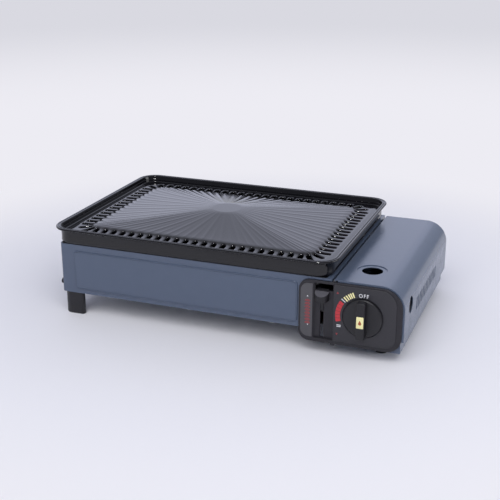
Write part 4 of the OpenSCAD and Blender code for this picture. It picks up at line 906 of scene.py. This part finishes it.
# %% OFF
OFF_X, OFF_Z, OFF_W, OFF_H = 222.9, 79.2, 11.4, 4.7
SPACING, WEIGHT = 1.3, 0.014  # wide-set and a little bolder than the plain font


def off_mark():
    """The word OFF as a mesh, fitted to its place in the panel's plane."""
    curve = bpy.data.curves.new("off", "FONT")
    curve.body, curve.space_character, curve.offset = "OFF", SPACING, WEIGHT
    text = bpy.data.objects.new("off", curve)
    bpy.context.scene.collection.objects.link(text)
    bm = bmesh.new()
    bm.from_mesh(text.evaluated_get(bpy.context.evaluated_depsgraph_get()).to_mesh())
    bpy.data.objects.remove(text)
    low = [min(v.co[i] for v in bm.verts) for i in (0, 1)]
    high = [max(v.co[i] for v in bm.verts) for i in (0, 1)]
    bmesh.ops.translate(bm, vec=(-(low[0] + high[0]) / 2, -low[1], 0), verts=bm.verts)
    bmesh.ops.scale(bm, vec=(OFF_W / (high[0] - low[0]), OFF_H / (high[1] - low[1]), 1), verts=bm.verts)
    bmesh.ops.rotate(bm, cent=(0, 0, 0), matrix=UPRIGHT.to_3x3(), verts=bm.verts)
    bmesh.ops.translate(bm, vec=(OFF_X, 0, OFF_Z), verts=bm.verts)
    raise_flat(bm, FIELD_FRONT, INK)
    lay_out("off_mark", bm, "frame", "white_ink")


off_mark()


# %% Small marks
def triangles(name, finish_name, y, places):
    """Small triangles: each is a place, a size and whether it points up or down."""
    bm = bmesh.new()
    for x, z, size, up in places:
        points = ((-size, -up * size), (size, -up * size), (0, up * size))
        bm.faces.new([bm.verts.new((x + dx, 0, z + dz)) for dx, dz in points])
    raise_flat(bm, y, INK)
    lay_out(name, bm, "frame", finish_name)


FIELD_MARKS = [(191.9, 81.6, 1.4, 1), (192.0, 29.4, 1.4, -1)]
INLAY_MARKS = [(155.4, 72.5, 0.9, 1), (156.0, 35.9, 0.9, -1)]
triangles("red_triangles", "dull_red_ink", FIELD_FRONT, FIELD_MARKS)
triangles("white_triangles", "white_ink", INLAY_FRONT, INLAY_MARKS)

# %% Lock scale
LOCK_COUNT, LOCK_X, LOCK_LOW, LOCK_STEP = 8, 155.5, 36.4, 4.0
LOCK_RADII, LOCK_LINE, LOCK_ENDS = (1.5, 3.0), 1.0, (25, 155)
lock_z = [LOCK_LOW + LOCK_STEP * k for k in range(LOCK_COUNT)]
arc_bars("lock_scale", "dull_red_ink", INLAY_FRONT, [
    (LOCK_X, z, r, r + LOCK_LINE, *LOCK_ENDS) for z in lock_z for r in LOCK_RADII])

# %% Dashes at the low end
DASH_LEFT, DASH_RIGHT, DASH_R = 191.6, 196.6, 0.2
DASH_AT, DASH_H = (39.0, 40.8), 1.0
bm = bmesh.new()
for z in DASH_AT:
    outline(bm, DASH_LEFT, z, DASH_RIGHT, z + DASH_H, (DASH_R,) * 4)
raise_flat(bm, FIELD_FRONT, INK)
lay_out("low_mark", bm, "frame", "white_ink")

# %% [markdown]
# ## Floor
# A wide pale sheet under the grill, which fills the picture and takes the soft shadow. Near the grill
# it is matt paper that the lights shine on, without a highlight. Further out it fades into a glow of
# its own, like a backdrop with its own lamps, so that the picture keeps an even tone to its edges, but
# for a painted falloff: far out the glow turns a little darker.

# %% Floor
FLOOR_HALF = 9  # metres
GLOW_FROM, GLOW_TO = 0.3, 0.7  # metres from the grill: from paper to glow
# Far out the glow darkens from the near tone to the far one: a painted falloff of the light.
FALLOFF_FROM, FALLOFF_TO = 1.3, 3.2  # and from the near tone to the far one
bm = bmesh.new()
bmesh.ops.create_grid(bm, x_segments=1, y_segments=1, size=FLOOR_HALF)
floor_mesh = bpy.data.meshes.new("floor")
bm.to_mesh(floor_mesh)
bm.free()
floor = bpy.data.objects.new("floor", floor_mesh)
bpy.context.scene.collection.objects.link(floor)

# %% The floor's paper and glow
paper = bpy.data.materials.new("white_paper")
paper.use_nodes = True
tree = paper.node_tree
sheet = tree.nodes["Principled BSDF"]
sheet.inputs["Base Color"].default_value = srgb("#EDECF0")
sheet.inputs["Roughness"].default_value = 0.9
place = add(tree, "ShaderNodeTexCoord").outputs["Object"]
away = add(tree, "ShaderNodeVectorMath", {0: place}, operation="LENGTH").outputs["Value"]
fades = [
    add(tree, "ShaderNodeMapRange", {"Value": away, "From Min": start, "From Max": stop},
        interpolation_type="SMOOTHSTEP").outputs["Result"]
    for start, stop in ((GLOW_FROM, GLOW_TO), (FALLOFF_FROM, FALLOFF_TO))]
# The far tone is darker: a painted falloff of the light towards the picture's far edges.
tone = add(tree, "ShaderNodeMixRGB", {
    "Fac": fades[1], "Color1": srgb("#EDECF3"), "Color2": srgb("#D9D9E1")})
glow = add(tree, "ShaderNodeEmission", {"Color": tone.outputs["Color"], "Strength": 1.0})
path = add(tree, "ShaderNodeLightPath").outputs
seen = path["Is Camera Ray"]
for other in ("Is Glossy Ray", "Is Transmission Ray"):
    seen = add(tree, "ShaderNodeMath", {0: seen, 1: path[other]}, operation="MAXIMUM").outputs[0]
share = add(tree, "ShaderNodeMath", {0: fades[0], 1: seen}, operation="MULTIPLY")
both = add(tree, "ShaderNodeMixShader", {
    0: share.outputs[0], 1: sheet.outputs["BSDF"], 2: glow.outputs["Emission"]})
tree.links.new(both.outputs["Shader"], tree.nodes["Material Output"].inputs["Surface"])
floor_mesh.materials.append(paper)
floor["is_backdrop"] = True
print("floor of", 2 * FLOOR_HALF, "m with", paper.name)

# %% [markdown]
# ## Measure and finish
# The dressed grill is meant to fill the same box as the solids, and its box is printed.

# %% Both boxes
low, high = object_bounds()
print("visual box in mm:", [round(1000 * v, 1) for v in (*low, *high)])
